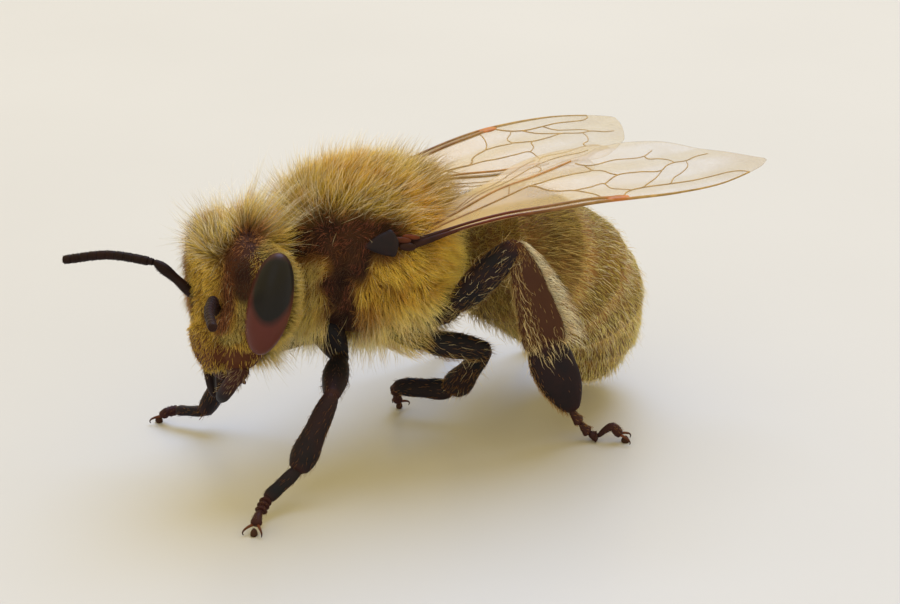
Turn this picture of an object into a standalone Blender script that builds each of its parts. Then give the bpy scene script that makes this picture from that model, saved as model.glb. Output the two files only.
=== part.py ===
"""A worker honey bee at life size, standing still on its six feet.

Each part that a person would name is one closed solid. The solids reach out to the tips of
the coat, and a thin cut parts those that meet. The bee heads towards -Y, its left is +X and
its feet stand on z = 0. Run with: blender --background --python part.py
"""

from math import copysign, cos, pi, radians, sin
from typing import NamedTuple

import bmesh
import bpy
from mathutils import Matrix, Vector

MM = 0.001  # every size below is in millimetres
CUT = 0.04  # the gap between two solids that meet
MIDDLE = Vector((-0.209, 1.881, 0.0))  # point of the floor that becomes the origin

# Trunk
HEAD_WIDTH, HEAD_TOP, HEAD_BOTTOM = 3.9, 6.25, 2.5
HEAD_FRONT, HEAD_BACK = -3.72, -1.98
EYE_LENGTH, EYE_BREADTH, EYE_DEPTH = 2.5, 1.3, 1.0
THORAX_FRONT, THORAX_BACK = -1.72, 2.62
NECK_HALVES, NECK_LEVEL = (0.55, 0.6), 4.7
WAIST_HALVES, WAIST_LEVEL, WAIST_FRONT = (0.4, 0.4), 4.36, 2.2
TUCK = 0.3  # how far the neck runs into the solids that it is cut to
EYE_CENTRE, EYE_TILT, EYE_LEAN = (1.6, -2.62, 4.58), -13.0, 4.0  # degrees about X and Y
ABDOMEN_LENGTH, ABDOMEN_WIDTH = 6.5, 4.3
ABDOMEN_START = Vector((0.0, 2.8, 4.1))
ABDOMEN_PITCH_START, ABDOMEN_PITCH_END = -2.0, -116.0  # degrees, level is 0
ABDOMEN_LIMITS = (0.0, 0.17, 0.36, 0.53, 0.69, 0.84, 1.0)  # where its lengths part
OLIVE_LENGTHS = 2  # how many lengths of the abdomen wear the olive coat
LEFTWARD, BACKWARD, UPWARD = Vector((1, 0, 0)), Vector((0, 1, 0)), Vector((0, 0, 1))

# Limbs, half of each solid's thickness
FEELER_HALF = 0.25
TARSUS_HALF = 0.25
OVERRUN = 0.25  # how far a leg segment runs past its joints before it is cut there
WING_HALF = 0.25
WING_ROLL = 15.0  # degrees that the rear edge stands up at the root, none at the tip
WING_ENDS = {  # root and tip
    "left": ((1.95, 0.75, 5.4), (3.72, 9.44, 6.44)),
    "right": ((-1.95, 0.75, 5.4), (-3.35, 9.3, 5.9)),
}
WING_BOW = {"left": 0.0, "right": 0.42}  # how far the middle of the length stands above its ends
FOREWING = [  # length share, front edge, rear edge
    (0.03, -0.1, 0.45),
    (0.14, -0.14, 0.72),
    (0.35, -0.14, 1.4),
    (0.55, -0.12, 2.1),
    (0.72, -0.1, 2.66),
    (0.86, 0.0, 2.52),
    (0.95, 0.12, 1.75),
    (1.0, 0.32, 0.95),
]
HINDWING = [(0.12, 0.35), (0.24, 0.52), (0.4, 0.76), (0.55, 0.76), (0.64, 0.45)]  # share, width
SCALE_CENTRE, SCALE_RADII, SCALE_TILT = (2.12, -0.05, 5.55), (0.42, 0.5, 0.42), -8.0

# Head parts
FEELERS = {  # socket, elbow, middle and tip
    "left": ((0.45, -3.4, 4.05), (1.4, -3.93, 4.85), (2.32, -4.41, 4.96), (3.31, -4.77, 5.02)),
    "right": ((-0.45, -3.4, 4.05), (-1.05, -4.2, 5.0), (-1.86, -4.98, 5.06), (-2.6, -5.8, 4.86)),
}
JAW_BASE, JAW_TIP = (0.8, -2.85, 2.75), (0.31, -3.22, 1.84)
TONGUE_BASE, TONGUE_TIP = (0.0, -2.5, 2.45), (0.0, -2.35, 1.95)

COLORS = {
    "coat_olive": (0.36, 0.25, 0.09),
    "coat_brown": (0.16, 0.08, 0.03),
    "cuticle_black": (0.02, 0.012, 0.01),
    "cuticle_brown": (0.09, 0.03, 0.02),
    "eye_black": (0.012, 0.008, 0.008),
    "wing_clear": (0.62, 0.55, 0.45),
}
ROUGHNESS = {
    "coat_olive": 0.85,
    "coat_brown": 0.8,
    "cuticle_black": 0.35,
    "cuticle_brown": 0.4,
    "eye_black": 0.2,
    "wing_clear": 0.3,
}


class Leg(NamedTuple):
    """The joints of one leg from the body to the claws."""

    hip: tuple
    trochanter: tuple
    knee: tuple
    ankle: tuple
    heel: tuple
    toe: tuple


LEGS = {
    "front_left": Leg(
        hip=(0.5, -0.85, 3.5),
        trochanter=(0.62, -0.45, 2.55),
        knee=(2.2, -1.48, 2.37),
        ankle=(2.4, -2.45, 0.87),
        heel=(2.62, -3.33, 0.46),
        toe=(3.2, -3.9, 0.18),
    ),
    "front_right": Leg(
        hip=(-0.5, -0.85, 3.5),
        trochanter=(-0.7, -0.5, 2.6),
        knee=(-2.05, -1.75, 2.0),
        ankle=(-2.33, -2.6, 0.5),
        heel=(-2.9, -3.06, 0.42),
        toe=(-3.25, -3.3, 0.18),
    ),
    "middle_left": Leg(
        hip=(0.75, 0.5, 3.5),
        trochanter=(1.15, 1.25, 2.78),
        knee=(1.05, 3.22, 2.1),
        ankle=(0.0, 2.9, 0.75),
        heel=(-1.0, 1.87, 0.7),
        toe=(-1.12, 2.0, 0.2),
    ),
    "middle_right": Leg(
        hip=(-0.75, 0.5, 3.5),
        trochanter=(-1.15, 1.1, 2.85),
        knee=(-2.9, 2.2, 3.5),
        ankle=(-3.2, 3.5, 2.0),
        heel=(-3.4, 4.3, 0.8),
        toe=(-3.7, 5.0, 0.18),
    ),
    "hind_left": Leg(
        hip=(0.75, 1.85, 3.45),
        trochanter=(1.5, 1.92, 3.45),
        knee=(2.52, 3.03, 5.2),
        ankle=(2.62, 3.86, 2.63),
        heel=(2.5, 4.68, 0.8),
        toe=(3.2, 5.65, 0.18),
    ),
    "hind_right": Leg(
        hip=(-0.75, 1.85, 3.45),
        trochanter=(-1.5, 1.92, 3.45),
        knee=(-2.5, 3.3, 5.1),
        ankle=(-2.75, 5.1, 2.8),
        heel=(-2.7, 6.4, 1.2),
        toe=(-2.85, 7.2, 0.18),
    ),
}


class Segment(NamedTuple):
    """Half width and half thickness of a leg segment at its start, in its belly and at its end."""

    start: tuple
    belly: tuple
    end: tuple


LEG_SHAPES = {
    "front": {
        "coxa": Segment((0.42, 0.42), (0.4, 0.38), (0.3, 0.28)),
        "femur": Segment((0.27, 0.26), (0.34, 0.29), (0.27, 0.26)),
        "tibia": Segment((0.26, 0.25), (0.3, 0.27), (0.32, 0.27)),
        "basitarsus": Segment((0.28, 0.25), (0.27, 0.25), (0.25, 0.25)),
    },
    "middle": {
        "coxa": Segment((0.42, 0.4), (0.4, 0.36), (0.3, 0.28)),
        "femur": Segment((0.28, 0.26), (0.36, 0.29), (0.27, 0.26)),
        "tibia": Segment((0.26, 0.25), (0.34, 0.27), (0.37, 0.27)),
        "basitarsus": Segment((0.3, 0.25), (0.28, 0.25), (0.25, 0.25)),
    },
    "hind": {
        "coxa": Segment((0.5, 0.42), (0.46, 0.4), (0.34, 0.3)),
        "femur": Segment((0.3, 0.27), (0.42, 0.33), (0.3, 0.27)),
        "tibia": Segment((0.3, 0.25), (0.5, 0.27), (0.62, 0.27)),
        "basitarsus": Segment((0.5, 0.26), (0.56, 0.27), (0.4, 0.26)),
    },
}
BROAD_FACE = {  # the way a segment's broad face looks, on the left side of the body
    "front": Vector((0.75, -0.4, 0.5)),
    "middle": Vector((0.85, -0.3, 0.4)),
    "hind": Vector((0.92, -0.3, 0.2)),
}


# ---------------------------------------------------------------- scene and finishes
def cleared_scene():
    """An empty scene, the collection of the bee's parts and the collection of its cutters."""
    for obj in list(bpy.data.objects):
        bpy.data.objects.remove(obj, do_unlink=True)
    parts = bpy.data.collections.new("honey_bee")
    cutters = bpy.data.collections.new("cutters")
    cutters.hide_render = True
    for collection in (parts, cutters):
        bpy.context.scene.collection.children.link(collection)
    return parts, cutters


def finish(name):
    """A Principled material in one of the bee's colours."""
    made = bpy.data.materials.get(name)
    if made:
        return made
    made = bpy.data.materials.new(name)
    made.use_nodes = True
    shader = made.node_tree.nodes["Principled BSDF"]
    shader.inputs["Base Color"].default_value = (*COLORS[name], 1.0)
    shader.inputs["Roughness"].default_value = ROUGHNESS[name]
    shader.inputs["Metallic"].default_value = 0.0
    made.diffuse_color = (*COLORS[name], 1.0)
    return made


def placed(name, mesh_parts, look, collection):
    """A closed bmesh in millimetres as an object in metres, its faces outwards."""
    bmesh.ops.recalc_face_normals(mesh_parts, faces=mesh_parts.faces)
    bmesh.ops.translate(mesh_parts, vec=-MIDDLE, verts=mesh_parts.verts)
    bmesh.ops.scale(mesh_parts, vec=(MM, MM, MM), verts=mesh_parts.verts)
    mesh = bpy.data.meshes.new(name)
    mesh_parts.to_mesh(mesh)
    mesh_parts.free()
    mesh.materials.append(finish(look))
    obj = bpy.data.objects.new(name, mesh)
    collection.objects.link(obj)
    return obj


def cut(obj, *cutters):
    """Takes each cutter's solid away from an object."""
    for cutter in cutters:
        change = obj.modifiers.new("cut_" + cutter.name, "BOOLEAN")
        change.operation = "DIFFERENCE"
        change.solver = "EXACT"
        change.object = cutter


# ---------------------------------------------------------------- shapes
def along(rows, t):
    """Values at t on a smooth curve through rows of (t, value, value, ...)."""
    rows = [rows[0], *rows, rows[-1]]
    for before, low, high, after in zip(rows, rows[1:], rows[2:], rows[3:]):
        if t <= high[0] or high is after:
            break
    span = high[0] - low[0]
    u = min(max((t - low[0]) / span, 0.0), 1.0)
    values = []
    for p0, p1, p2, p3 in zip(before[1:], low[1:], high[1:], after[1:]):
        m1 = (p2 - p0) / max(high[0] - before[0], 1e-6) * span
        m2 = (p3 - p1) / max(after[0] - low[0], 1e-6) * span
        values.append(
            (2 * u**3 - 3 * u**2 + 1) * p1
            + (u**3 - 2 * u**2 + u) * m1
            + (3 * u**2 - 2 * u**3) * p2
            + (u**3 - u**2) * m2
        )
    return values


def section(centre, across, up, half_width, half_height, sides, fullness=2.0):
    """The points of one rounded section, an ellipse where fullness is 2."""
    points = []
    for i in range(sides):
        c, s = cos(2 * pi * i / sides), sin(2 * pi * i / sides)
        x = copysign(abs(c) ** (2 / fullness), c) * half_width
        y = copysign(abs(s) ** (2 / fullness), s) * half_height
        points.append(centre + across * x + up * y)
    return points


def lofted(sections):
    """A closed bmesh through sections of the same number of points, flat at both ends."""
    bm = bmesh.new()
    rows = [[bm.verts.new(point) for point in points] for points in sections]
    sides = len(rows[0])
    for low, high in zip(rows, rows[1:]):
        for i in range(sides):
            j = (i + 1) % sides
            bm.faces.new((low[i], low[j], high[j], high[i]))
    bm.faces.new(rows[0])
    bm.faces.new(rows[-1])
    return bm


def ball(centre, turn, radii, rings=12, sides=20):
    """A bmesh ellipsoid with its long way up before it is turned."""
    bm = bmesh.new()
    bmesh.ops.create_uvsphere(bm, u_segments=sides, v_segments=rings, radius=1.0)
    place = Matrix.Translation(centre) @ turn.to_4x4() @ Matrix.Diagonal((*radii, 1.0))
    bmesh.ops.transform(bm, matrix=place, verts=bm.verts)
    return bm


def mitred(bm, point, normal):
    """Cuts away what lies past a plane, and closes the cut flat."""
    geometry = bm.verts[:] + bm.edges[:] + bm.faces[:]
    made = bmesh.ops.bisect_plane(
        bm, geom=geometry, plane_co=point, plane_no=normal, clear_outer=True
    )
    edges = [part for part in made["geom_cut"] if isinstance(part, bmesh.types.BMEdge)]
    bmesh.ops.holes_fill(bm, edges=edges)
    return bm


def limb(start, end, shape, face, sides=12, overrun=OVERRUN):
    """A bmesh limb segment along a line, run past both joints and rounded there."""
    axis = (end - start).normalized()
    across = axis.cross(face).normalized()
    up = across.cross(axis)
    length = (end - start).length
    profile = [
        (0.0, *[0.45 * half for half in shape.start]),
        (0.08, *[0.85 * half for half in shape.start]),
        (0.22, *shape.start),
        (0.55, *shape.belly),
        (0.84, *shape.end),
        (0.94, *[0.85 * half for half in shape.end]),
        (1.0, *[0.45 * half for half in shape.end]),
    ]
    rings = []
    for t, half_width, half_height in profile:
        place = start + axis * (t * (length + 2 * overrun) - overrun)
        rings.append(section(place, across, up, half_width, half_height, sides))
    return lofted(rings)


def joint_plane(before, joint, after):
    """The normal of the plane that halves the bend at a joint, towards the far side."""
    return ((joint - before).normalized() + (after - joint).normalized()).normalized()


# ---------------------------------------------------------------- trunk
def head_mesh(swell=0.0):
    """The head and its coat, seen from the front a rounded triangle with its point down."""
    rows = [  # height share, half width share, half depth share, centre shift back
        (0.0, 0.3, 0.42, -0.25),
        (0.04, 0.48, 0.6, -0.2),
        (0.16, 0.66, 0.84, -0.12),
        (0.36, 0.87, 1.0, -0.02),
        (0.58, 0.99, 1.0, 0.0),
        (0.78, 0.93, 0.94, 0.08),
        (0.92, 0.66, 0.7, 0.16),
        (1.0, 0.3, 0.34, 0.2),
    ]
    height = HEAD_TOP - HEAD_BOTTOM
    depth = (HEAD_BACK - HEAD_FRONT) / 2
    rings = []
    for t, wide, deep, shift in rows:
        centre = Vector((0.0, (HEAD_FRONT + HEAD_BACK) / 2 + shift, HEAD_BOTTOM + height * t))
        centre.z += swell * (2 * t - 1)
        rings.append(
            section(
                centre,
                LEFTWARD,
                BACKWARD,
                HEAD_WIDTH / 2 * wide + swell,
                depth * deep + swell,
                24,
                2.3,
            )
        )
    return lofted(rings)


def eye_mesh(side, swell=0.0):
    """One compound eye, a long ellipsoid let into the side of the head."""
    lean = Matrix.Rotation(radians(side * EYE_LEAN), 3, "Y")
    turn = Matrix.Rotation(radians(EYE_TILT), 3, "X") @ lean
    radii = (EYE_DEPTH / 2 + swell, EYE_BREADTH / 2 + swell, EYE_LENGTH / 2 + swell)
    x, y, z = EYE_CENTRE
    return ball(Vector((side * x, y, z)), turn, radii, 12, 16)


def thorax_mesh(swell=0.0):
    """The thorax and its coat, a deep round barrel that slopes down to the waist behind."""
    rows = [  # length share, middle height, half width, half height
        (0.0, 4.8, 0.7, 0.85),
        (0.05, 4.85, 1.28, 1.52),
        (0.17, 4.86, 1.82, 2.02),
        (0.36, 4.84, 2.14, 2.3),
        (0.56, 4.8, 2.16, 2.38),
        (0.77, 4.7, 1.95, 2.24),
        (0.92, 4.52, 1.5, 1.8),
        (1.0, 4.4, 0.85, 1.05),
    ]
    rings = []
    for t, height, half_width, half_height in rows:
        y = THORAX_FRONT + (THORAX_BACK - THORAX_FRONT) * t + swell * (2 * t - 1)
        rings.append(
            section(
                Vector((0.0, y, height)),
                LEFTWARD,
                UPWARD,
                half_width + swell,
                half_height + swell,
                24,
                2.15,
            )
        )
    return lofted(rings)


def abdomen_place(t):
    """The middle of the abdomen at a share of its length, and the way back there."""
    steps = 60
    place = ABDOMEN_START.copy()
    for i in range(steps + 1):
        share = min(i / steps, t)
        bend = share**1.5
        pitch = radians(
            ABDOMEN_PITCH_START + (ABDOMEN_PITCH_END - ABDOMEN_PITCH_START) * bend
        )
        heading = Vector((0.0, cos(pitch), sin(pitch)))
        if i / steps >= t:
            return place, heading
        place += heading * ABDOMEN_LENGTH * min(1 / steps, t - i / steps)
    return place, heading


def abdomen_ring(t):
    """One section of the abdomen and its coat."""
    rows = [  # length share, half width share, half height share
        (0.0, 0.2, 0.2),
        (0.04, 0.42, 0.4),
        (0.12, 0.76, 0.68),
        (0.24, 0.95, 0.8),
        (0.4, 1.0, 0.88),
        (0.56, 0.97, 0.89),
        (0.72, 0.83, 0.78),
        (0.86, 0.58, 0.58),
        (0.95, 0.33, 0.36),
        (1.0, 0.12, 0.14),
    ]
    centre, heading = abdomen_place(t)
    wide, tall = along(rows, t)
    up = LEFTWARD.cross(heading)
    half = ABDOMEN_WIDTH / 2
    return section(centre, LEFTWARD, up, half * wide, half * tall, 24, 2.1)


def rod(front, back, level, halves):
    """A bmesh rod along the body, for the neck and the waist."""
    ends = (BACKWARD * y + UPWARD * level for y in (front, back))
    return lofted([section(end, LEFTWARD, UPWARD, *halves, 16) for end in ends])


def build_trunk(parts, cutters):
    """Head, eyes, neck, thorax, waist and the six lengths of the abdomen."""
    thorax_clear = placed("thorax_clear", thorax_mesh(CUT), "coat_olive", cutters)
    head_clear = placed("head_clear", head_mesh(CUT), "coat_olive", cutters)
    head = placed("head", head_mesh(), "coat_olive", parts)
    for side, word in ((1, "left"), (-1, "right")):
        placed("eye_" + word, eye_mesh(side), "eye_black", parts)
        cut(head, placed("eye_clear_" + word, eye_mesh(side, CUT), "eye_black", cutters))
    placed("thorax", thorax_mesh(), "coat_olive", parts)

    neck = rod(HEAD_BACK - TUCK, THORAX_FRONT + TUCK, NECK_LEVEL, NECK_HALVES)
    cut(placed("neck", neck, "cuticle_brown", parts), head_clear, thorax_clear)
    waist = rod(WAIST_FRONT, ABDOMEN_START.y - CUT, WAIST_LEVEL, WAIST_HALVES)
    cut(placed("waist", waist, "cuticle_brown", parts), thorax_clear)

    gap = CUT / ABDOMEN_LENGTH / 2
    last = len(ABDOMEN_LIMITS) - 1
    for number, (low, high) in enumerate(zip(ABDOMEN_LIMITS, ABDOMEN_LIMITS[1:]), start=1):
        low, high = low + gap * (number > 1), high - gap * (number < last)
        rings = [abdomen_ring(low + (high - low) * i / 3) for i in range(4)]
        look = "coat_olive" if number <= OLIVE_LENGTHS else "coat_brown"
        placed(f"abdomen_{number}", lofted(rings), look, parts)
    return head_clear, thorax_clear


# ---------------------------------------------------------------- head parts
def build_feelers(parts, head_clear):
    """Each antenna in two lengths, the scape and the flagellum past the elbow."""
    thick = (FEELER_HALF, FEELER_HALF)
    shape = Segment(thick, thick, thick)
    for word, points in FEELERS.items():
        socket, elbow, middle, tip = (Vector(point) for point in points)
        scape = limb(socket, elbow, shape, UPWARD, 10, 0.1)
        fold = joint_plane(socket, elbow, middle)
        mitred(scape, elbow - fold * CUT / 2, fold)
        cut(placed("antenna_scape_" + word, scape, "cuticle_black", parts), head_clear)

        rings = []
        heading = (tip - elbow).normalized()
        across = heading.cross(UPWARD).normalized()
        rows = [(0.0, *elbow), (0.5, *middle), (1.0, *tip)]
        for t, swell in ((-0.04, 0.5), (0.02, 0.9), (0.1, 1.0), (0.35, 1.0), (0.6, 1.0)):
            place = Vector(along(rows, t)) + heading * min(t, 0.0) * (tip - elbow).length
            half = FEELER_HALF * swell
            rings.append(section(place, across, across.cross(heading), half, half, 10))
        for t, swell in ((0.85, 1.0), (0.96, 0.85), (1.0, 0.4)):
            place = Vector(along(rows, t))
            half = FEELER_HALF * swell
            rings.append(section(place, across, across.cross(heading), half, half, 10))
        flagellum = mitred(lofted(rings), elbow + fold * CUT / 2, -fold)
        placed("antenna_flagellum_" + word, flagellum, "cuticle_black", parts)


def build_mouth(parts, head_clear):
    """Two mandibles that close below the face, the lip between them and the folded tongue."""
    for side, word in ((1, "left"), (-1, "right")):
        base, tip = (Vector((side * x, y, z)) for x, y, z in (JAW_BASE, JAW_TIP))
        shape = Segment((0.36, 0.3), (0.32, 0.27), (0.27, 0.25))
        jaw = limb(base, tip, shape, Vector((side, -0.5, 0.0)), 12, 0.08)
        cut(placed("mandible_" + word, jaw, "cuticle_brown", parts), head_clear)
    tongue = limb(
        Vector(TONGUE_BASE),
        Vector(TONGUE_TIP),
        Segment((0.3, 0.25), (0.3, 0.25), (0.27, 0.25)),
        BACKWARD,
        12,
        0.1,
    )
    cut(placed("tongue", tongue, "cuticle_brown", parts), head_clear)


# ---------------------------------------------------------------- legs
def build_leg(name, leg, parts, cutters, thorax_clear):
    """One leg in five lengths, its coxa let into the thorax and its foot flat on the floor."""
    kind, side_word = name.split("_")
    side = 1 if side_word == "left" else -1
    face = BROAD_FACE[kind].copy()
    face.x *= side
    joints = [Vector(point) for point in leg]
    shapes = LEG_SHAPES[kind]
    for i, segment in enumerate(("coxa", "femur", "tibia", "basitarsus")):
        bm = limb(joints[i], joints[i + 1], shapes[segment], face)
        if i > 0:
            fold = joint_plane(*joints[i - 1 : i + 2])
            mitred(bm, joints[i] + fold * CUT / 2, -fold)
        fold = joint_plane(*joints[i : i + 3])
        mitred(bm, joints[i + 1] - fold * CUT / 2, fold)
        look = "cuticle_brown" if segment == "coxa" else "cuticle_black"
        obj = placed(f"leg_{name}_{segment}", bm, look, parts)
        if segment == "femur":
            cut(obj, thorax_clear)
    room = Segment(*[(wide + CUT, deep + CUT) for wide, deep in shapes["coxa"]])
    socket = limb(joints[0], joints[1], room, face, 8, OVERRUN + CUT)
    cut(parts.objects["thorax"], placed(f"socket_{name}", socket, "cuticle_brown", cutters))
    build_foot(name, joints, parts)


def build_foot(name, joints, parts):
    """The small joints of the foot and its claws, cut level where they stand."""
    ankle, heel, toe = joints[-3:]
    thick = (TARSUS_HALF, TARSUS_HALF)
    bm = limb(heel, toe, Segment(thick, thick, thick), UPWARD, 12, 0.2)
    fold = joint_plane(ankle, heel, toe)
    mitred(bm, heel + fold * CUT / 2, -fold)
    mitred(bm, Vector((0, 0, 0)), -UPWARD)
    placed(f"leg_{name}_tarsus", bm, "cuticle_black", parts)


# ---------------------------------------------------------------- wings
def blade(root, tip, rows, inward, bow):
    """A thin blade from root to tip through rows of (share, front edge, rear edge)."""
    axis = (tip - root).normalized()
    chord = (inward - axis * inward.dot(axis)).normalized()
    up = chord.cross(axis)
    up *= copysign(1.0, up.z)
    length = (tip - root).length
    rings = []
    for t, front, rear in rows:
        roll = radians(WING_ROLL * (1 - t))
        flat = chord * cos(roll) + up * sin(roll)
        across_up = up * cos(roll) - chord * sin(roll)
        centre = root + axis * length * t + flat * (front + rear) / 2
        centre += across_up * bow * sin(pi * t)
        rings.append(
            section(centre, flat, across_up, (rear - front) / 2, WING_HALF, 12, 4.0)
        )
    return lofted(rings)


def build_wings(parts, thorax_clear):
    """Both forewings with the hindwings hooked behind them, and the scales over their roots."""
    for side, word in ((1, "left"), (-1, "right")):
        root, tip = (Vector(end) for end in WING_ENDS[word])
        inward = Vector((-side, 0.0, 0.0))
        fore = blade(root, tip, FOREWING, inward, WING_BOW[word])
        cut(placed("forewing_" + word, fore, "wing_clear", parts), thorax_clear)
        hind_rows = []
        for t, width in HINDWING:
            edge = along(FOREWING, t)[1] + CUT
            hind_rows.append((t, edge, edge + width))
        hind = blade(root, tip, hind_rows, inward, WING_BOW[word])
        cut(placed("hindwing_" + word, hind, "wing_clear", parts), thorax_clear)
        scale = ball(
            Vector((side * SCALE_CENTRE[0], *SCALE_CENTRE[1:])),
            Matrix.Rotation(radians(SCALE_TILT), 3, "X"),
            SCALE_RADII,
            8,
            12,
        )
        cut(placed("tegula_" + word, scale, "cuticle_brown", parts), thorax_clear)


def main():
    """Builds every part of the bee."""
    parts, cutters = cleared_scene()
    head_clear, thorax_clear = build_trunk(parts, cutters)
    build_feelers(parts, head_clear)
    build_mouth(parts, head_clear)
    for name, leg in LEGS.items():
        build_leg(name, leg, parts, cutters, thorax_clear)
    build_wings(parts, thorax_clear)
    for cutter in cutters.objects:
        cutter.hide_render = True
        cutter.display_type = "WIRE"


main()
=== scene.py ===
"""The looks of a worker honey bee at life size, a still model that stands on its six feet.

Each part of the body is a class that holds its sizes, builds its meshes and dresses them, and
each finish is a small class of its own. Sizes are in millimetres in the bee's own frame: it
heads towards -Y, its left is +X, its feet stand on z = 0, and x = 0 halves it.
"""

import logging
from collections.abc import Sequence
from dataclasses import dataclass, field
from enum import Enum
from types import SimpleNamespace

import bmesh
import bpy
import numpy as np
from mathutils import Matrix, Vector


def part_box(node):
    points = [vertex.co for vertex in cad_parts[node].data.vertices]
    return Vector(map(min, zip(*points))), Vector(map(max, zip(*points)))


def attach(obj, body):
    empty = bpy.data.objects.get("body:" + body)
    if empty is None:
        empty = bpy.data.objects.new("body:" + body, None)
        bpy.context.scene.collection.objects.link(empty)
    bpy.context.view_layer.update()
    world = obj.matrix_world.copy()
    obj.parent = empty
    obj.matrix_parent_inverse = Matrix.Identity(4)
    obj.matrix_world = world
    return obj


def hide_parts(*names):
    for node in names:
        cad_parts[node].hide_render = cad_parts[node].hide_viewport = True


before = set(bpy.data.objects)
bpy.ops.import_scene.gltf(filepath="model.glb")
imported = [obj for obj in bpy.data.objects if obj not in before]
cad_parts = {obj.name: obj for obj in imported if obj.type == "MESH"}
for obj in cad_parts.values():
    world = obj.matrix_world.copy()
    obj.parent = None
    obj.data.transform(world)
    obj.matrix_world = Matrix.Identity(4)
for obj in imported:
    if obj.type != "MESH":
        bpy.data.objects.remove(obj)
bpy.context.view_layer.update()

MM = 0.001
BODY = "root"
BAKE_MAP = "OFBake"
BAKE_PATCH = 0.003  # how far across one hair is on the bake map
UP = np.array([0.0, 0.0, 1.0])
LEFTWARD = np.array([1.0, 0.0, 0.0])
BACKWARD = np.array([0.0, 1.0, 0.0])
THORAX_FRONT = -1.72  # the front of the thorax solid in the bee's own frame
SEEDS = {  # where the random numbers of each coat start
    "head": 21, "head_guard": 25, "antenna": 31, "jaw": 41, "thorax": 51, "thorax_guard": 61,
    "abdomen": 71, "abdomen_guard": 81, "leg": 91, "hind_long": 121, "middle_long": 131,
}

log = logging.getLogger("honey_bee")
Array = np.ndarray
Color = tuple[float, float, float]
Socket = bpy.types.NodeSocket
Material = bpy.types.Material


class Side(Enum):
    """The two sides of the body, with the sign of X there."""

    LEFT = 1
    RIGHT = -1

    @property
    def word(self) -> str:
        """The side's name in the names of nodes and pieces."""
        return self.name.lower()


class Slot(Enum):
    """The material slots that the record lists."""

    OLIVE_COAT = "coat_olive"
    BROWN_COAT = "coat_brown"
    BLACK_SHELL = "cuticle_black"
    BROWN_SHELL = "cuticle_brown"
    EYE = "eye_black"
    WING = "wing_clear"


# ---------------------------------------------------------------- numbers and curves
def bee_origin() -> Array:
    """Where the bee's own frame has its origin, in metres, from the thorax's solid."""
    low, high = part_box("thorax")
    return np.array([(low.x + high.x) / 2, low.y - THORAX_FRONT * MM, 0.0])


def ramp(values: Array, low: float, high: float) -> Array:
    """A smooth step from 0 at low to 1 at high, or down from 1 where high is below low."""
    t = np.clip((np.asarray(values, float) - low) / (high - low), 0.0, 1.0)
    return t * t * (3.0 - 2.0 * t)


def groove(offsets: Array, width: float) -> Array:
    """1 where the offset is 0, and down to 0 on both sides of it."""
    return np.exp(-((offsets / width) ** 2))


def held(values: Array) -> Array:
    """The values held between 0 and 1."""
    return np.clip(values, 0, 1)


def patch(points: Array, centre: Sequence[float], radii: Sequence[float], soft: float = 0.5) -> Array:
    """How far points lie in a soft ellipsoid.

    Args:
        points: One point a row, in millimetres.
        centre: The middle of the ellipsoid.
        radii: Its three radii.
        soft: The share of the radii over which it fades out.

    Returns:
        1 well inside the ellipsoid and 0 outside it.
    """
    reach = np.linalg.norm((points - np.array(centre)) / np.array(radii), axis=-1)
    return ramp(reach, 1.0 + soft / 2, 1.0 - soft / 2)


def near(points: Array, path: Sequence[Sequence[float]], reach: float, soft: float = 0.5) -> Array:
    """How far points lie within reach of a path, 1 close to it and 0 well away from it.

    Args:
        points: One point a row, in millimetres.
        path: The path's corners.
        reach: How far from the path it still holds.
        soft: The share of the reach over which it fades out.

    Returns:
        1 close to the path and 0 well away from it.
    """
    best = np.full(len(points), np.inf)
    corners = np.asarray(path, float)
    for start, end in zip(corners, corners[1:]):
        step = end - start
        along = np.clip((points - start) @ step / (step @ step), 0.0, 1.0)
        best = np.minimum(best, np.linalg.norm(points - start - along[:, None] * step, axis=1))
    return ramp(best / reach, 1.0 + soft / 2, 1.0 - soft / 2)


def wandering(points: Array, reach: float, seed: int) -> Array:
    """A vector at each point that wanders smoothly, about 1 long.

    Args:
        points: One point a row, in millimetres.
        reach: How far it goes before it turns.
        seed: Which of the endless patterns it is.

    Returns:
        The vectors, one a row.
    """
    chance = np.random.default_rng(seed)
    waves = chance.normal(size=(12, 3)) / reach
    phases = chance.uniform(0.0, 2 * np.pi, (12, 3))
    ways = chance.normal(size=(12, 3)) / 2.5
    return (np.sin((points @ waves.T)[:, :, None] + phases) * ways).sum(axis=1)


def unit(vectors: Array) -> Array:
    """The vectors at length 1."""
    return vectors / np.maximum(np.linalg.norm(vectors, axis=-1, keepdims=True), 1e-12)


def columns(*values: Array | float) -> Array:
    """Rows made of columns, where a number fills its whole column."""
    return np.stack(np.broadcast_arrays(*values), axis=-1)


def mirrored(points: Array) -> Array:
    """The points brought to the left side."""
    return points * (np.sign(points[:, :1]) * (1, 0, 0) + (0, 1, 1))


def mixed(first: Array, second: Array, share: Array) -> Array:
    """Rows that go from first at share 0 to second at share 1."""
    share = np.asarray(share)[..., None]
    return np.asarray(first) * (1.0 - share) + np.asarray(second) * share


def layered(base: Array | Color, *layers: tuple[Array | Color, Array]) -> Array:
    """Colours or vectors with others laid over them in turn, each by its own share."""
    for value, share in layers:
        base = mixed(base, value, share)
    return base


def each(value: Array | float, count: int) -> Array:
    """The value for each of a number of points, repeated where it is one for all."""
    value = np.asarray(value, float)
    if value.ndim and len(value) == count:
        return value
    return np.broadcast_to(value, (count, *value.shape))


def tinted(colors: Array | Color) -> Array:
    """Colours with a fourth part, as a colour attribute takes them."""
    return np.insert(np.asarray(colors, float), 3, 1.0, axis=-1)


def read_line(line: Array, steps: Array, shares: Array) -> Array:
    """Points on a line of short straight steps."""
    return np.stack([np.interp(shares, steps, line[:, i]) for i in range(3)], axis=1)


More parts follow.
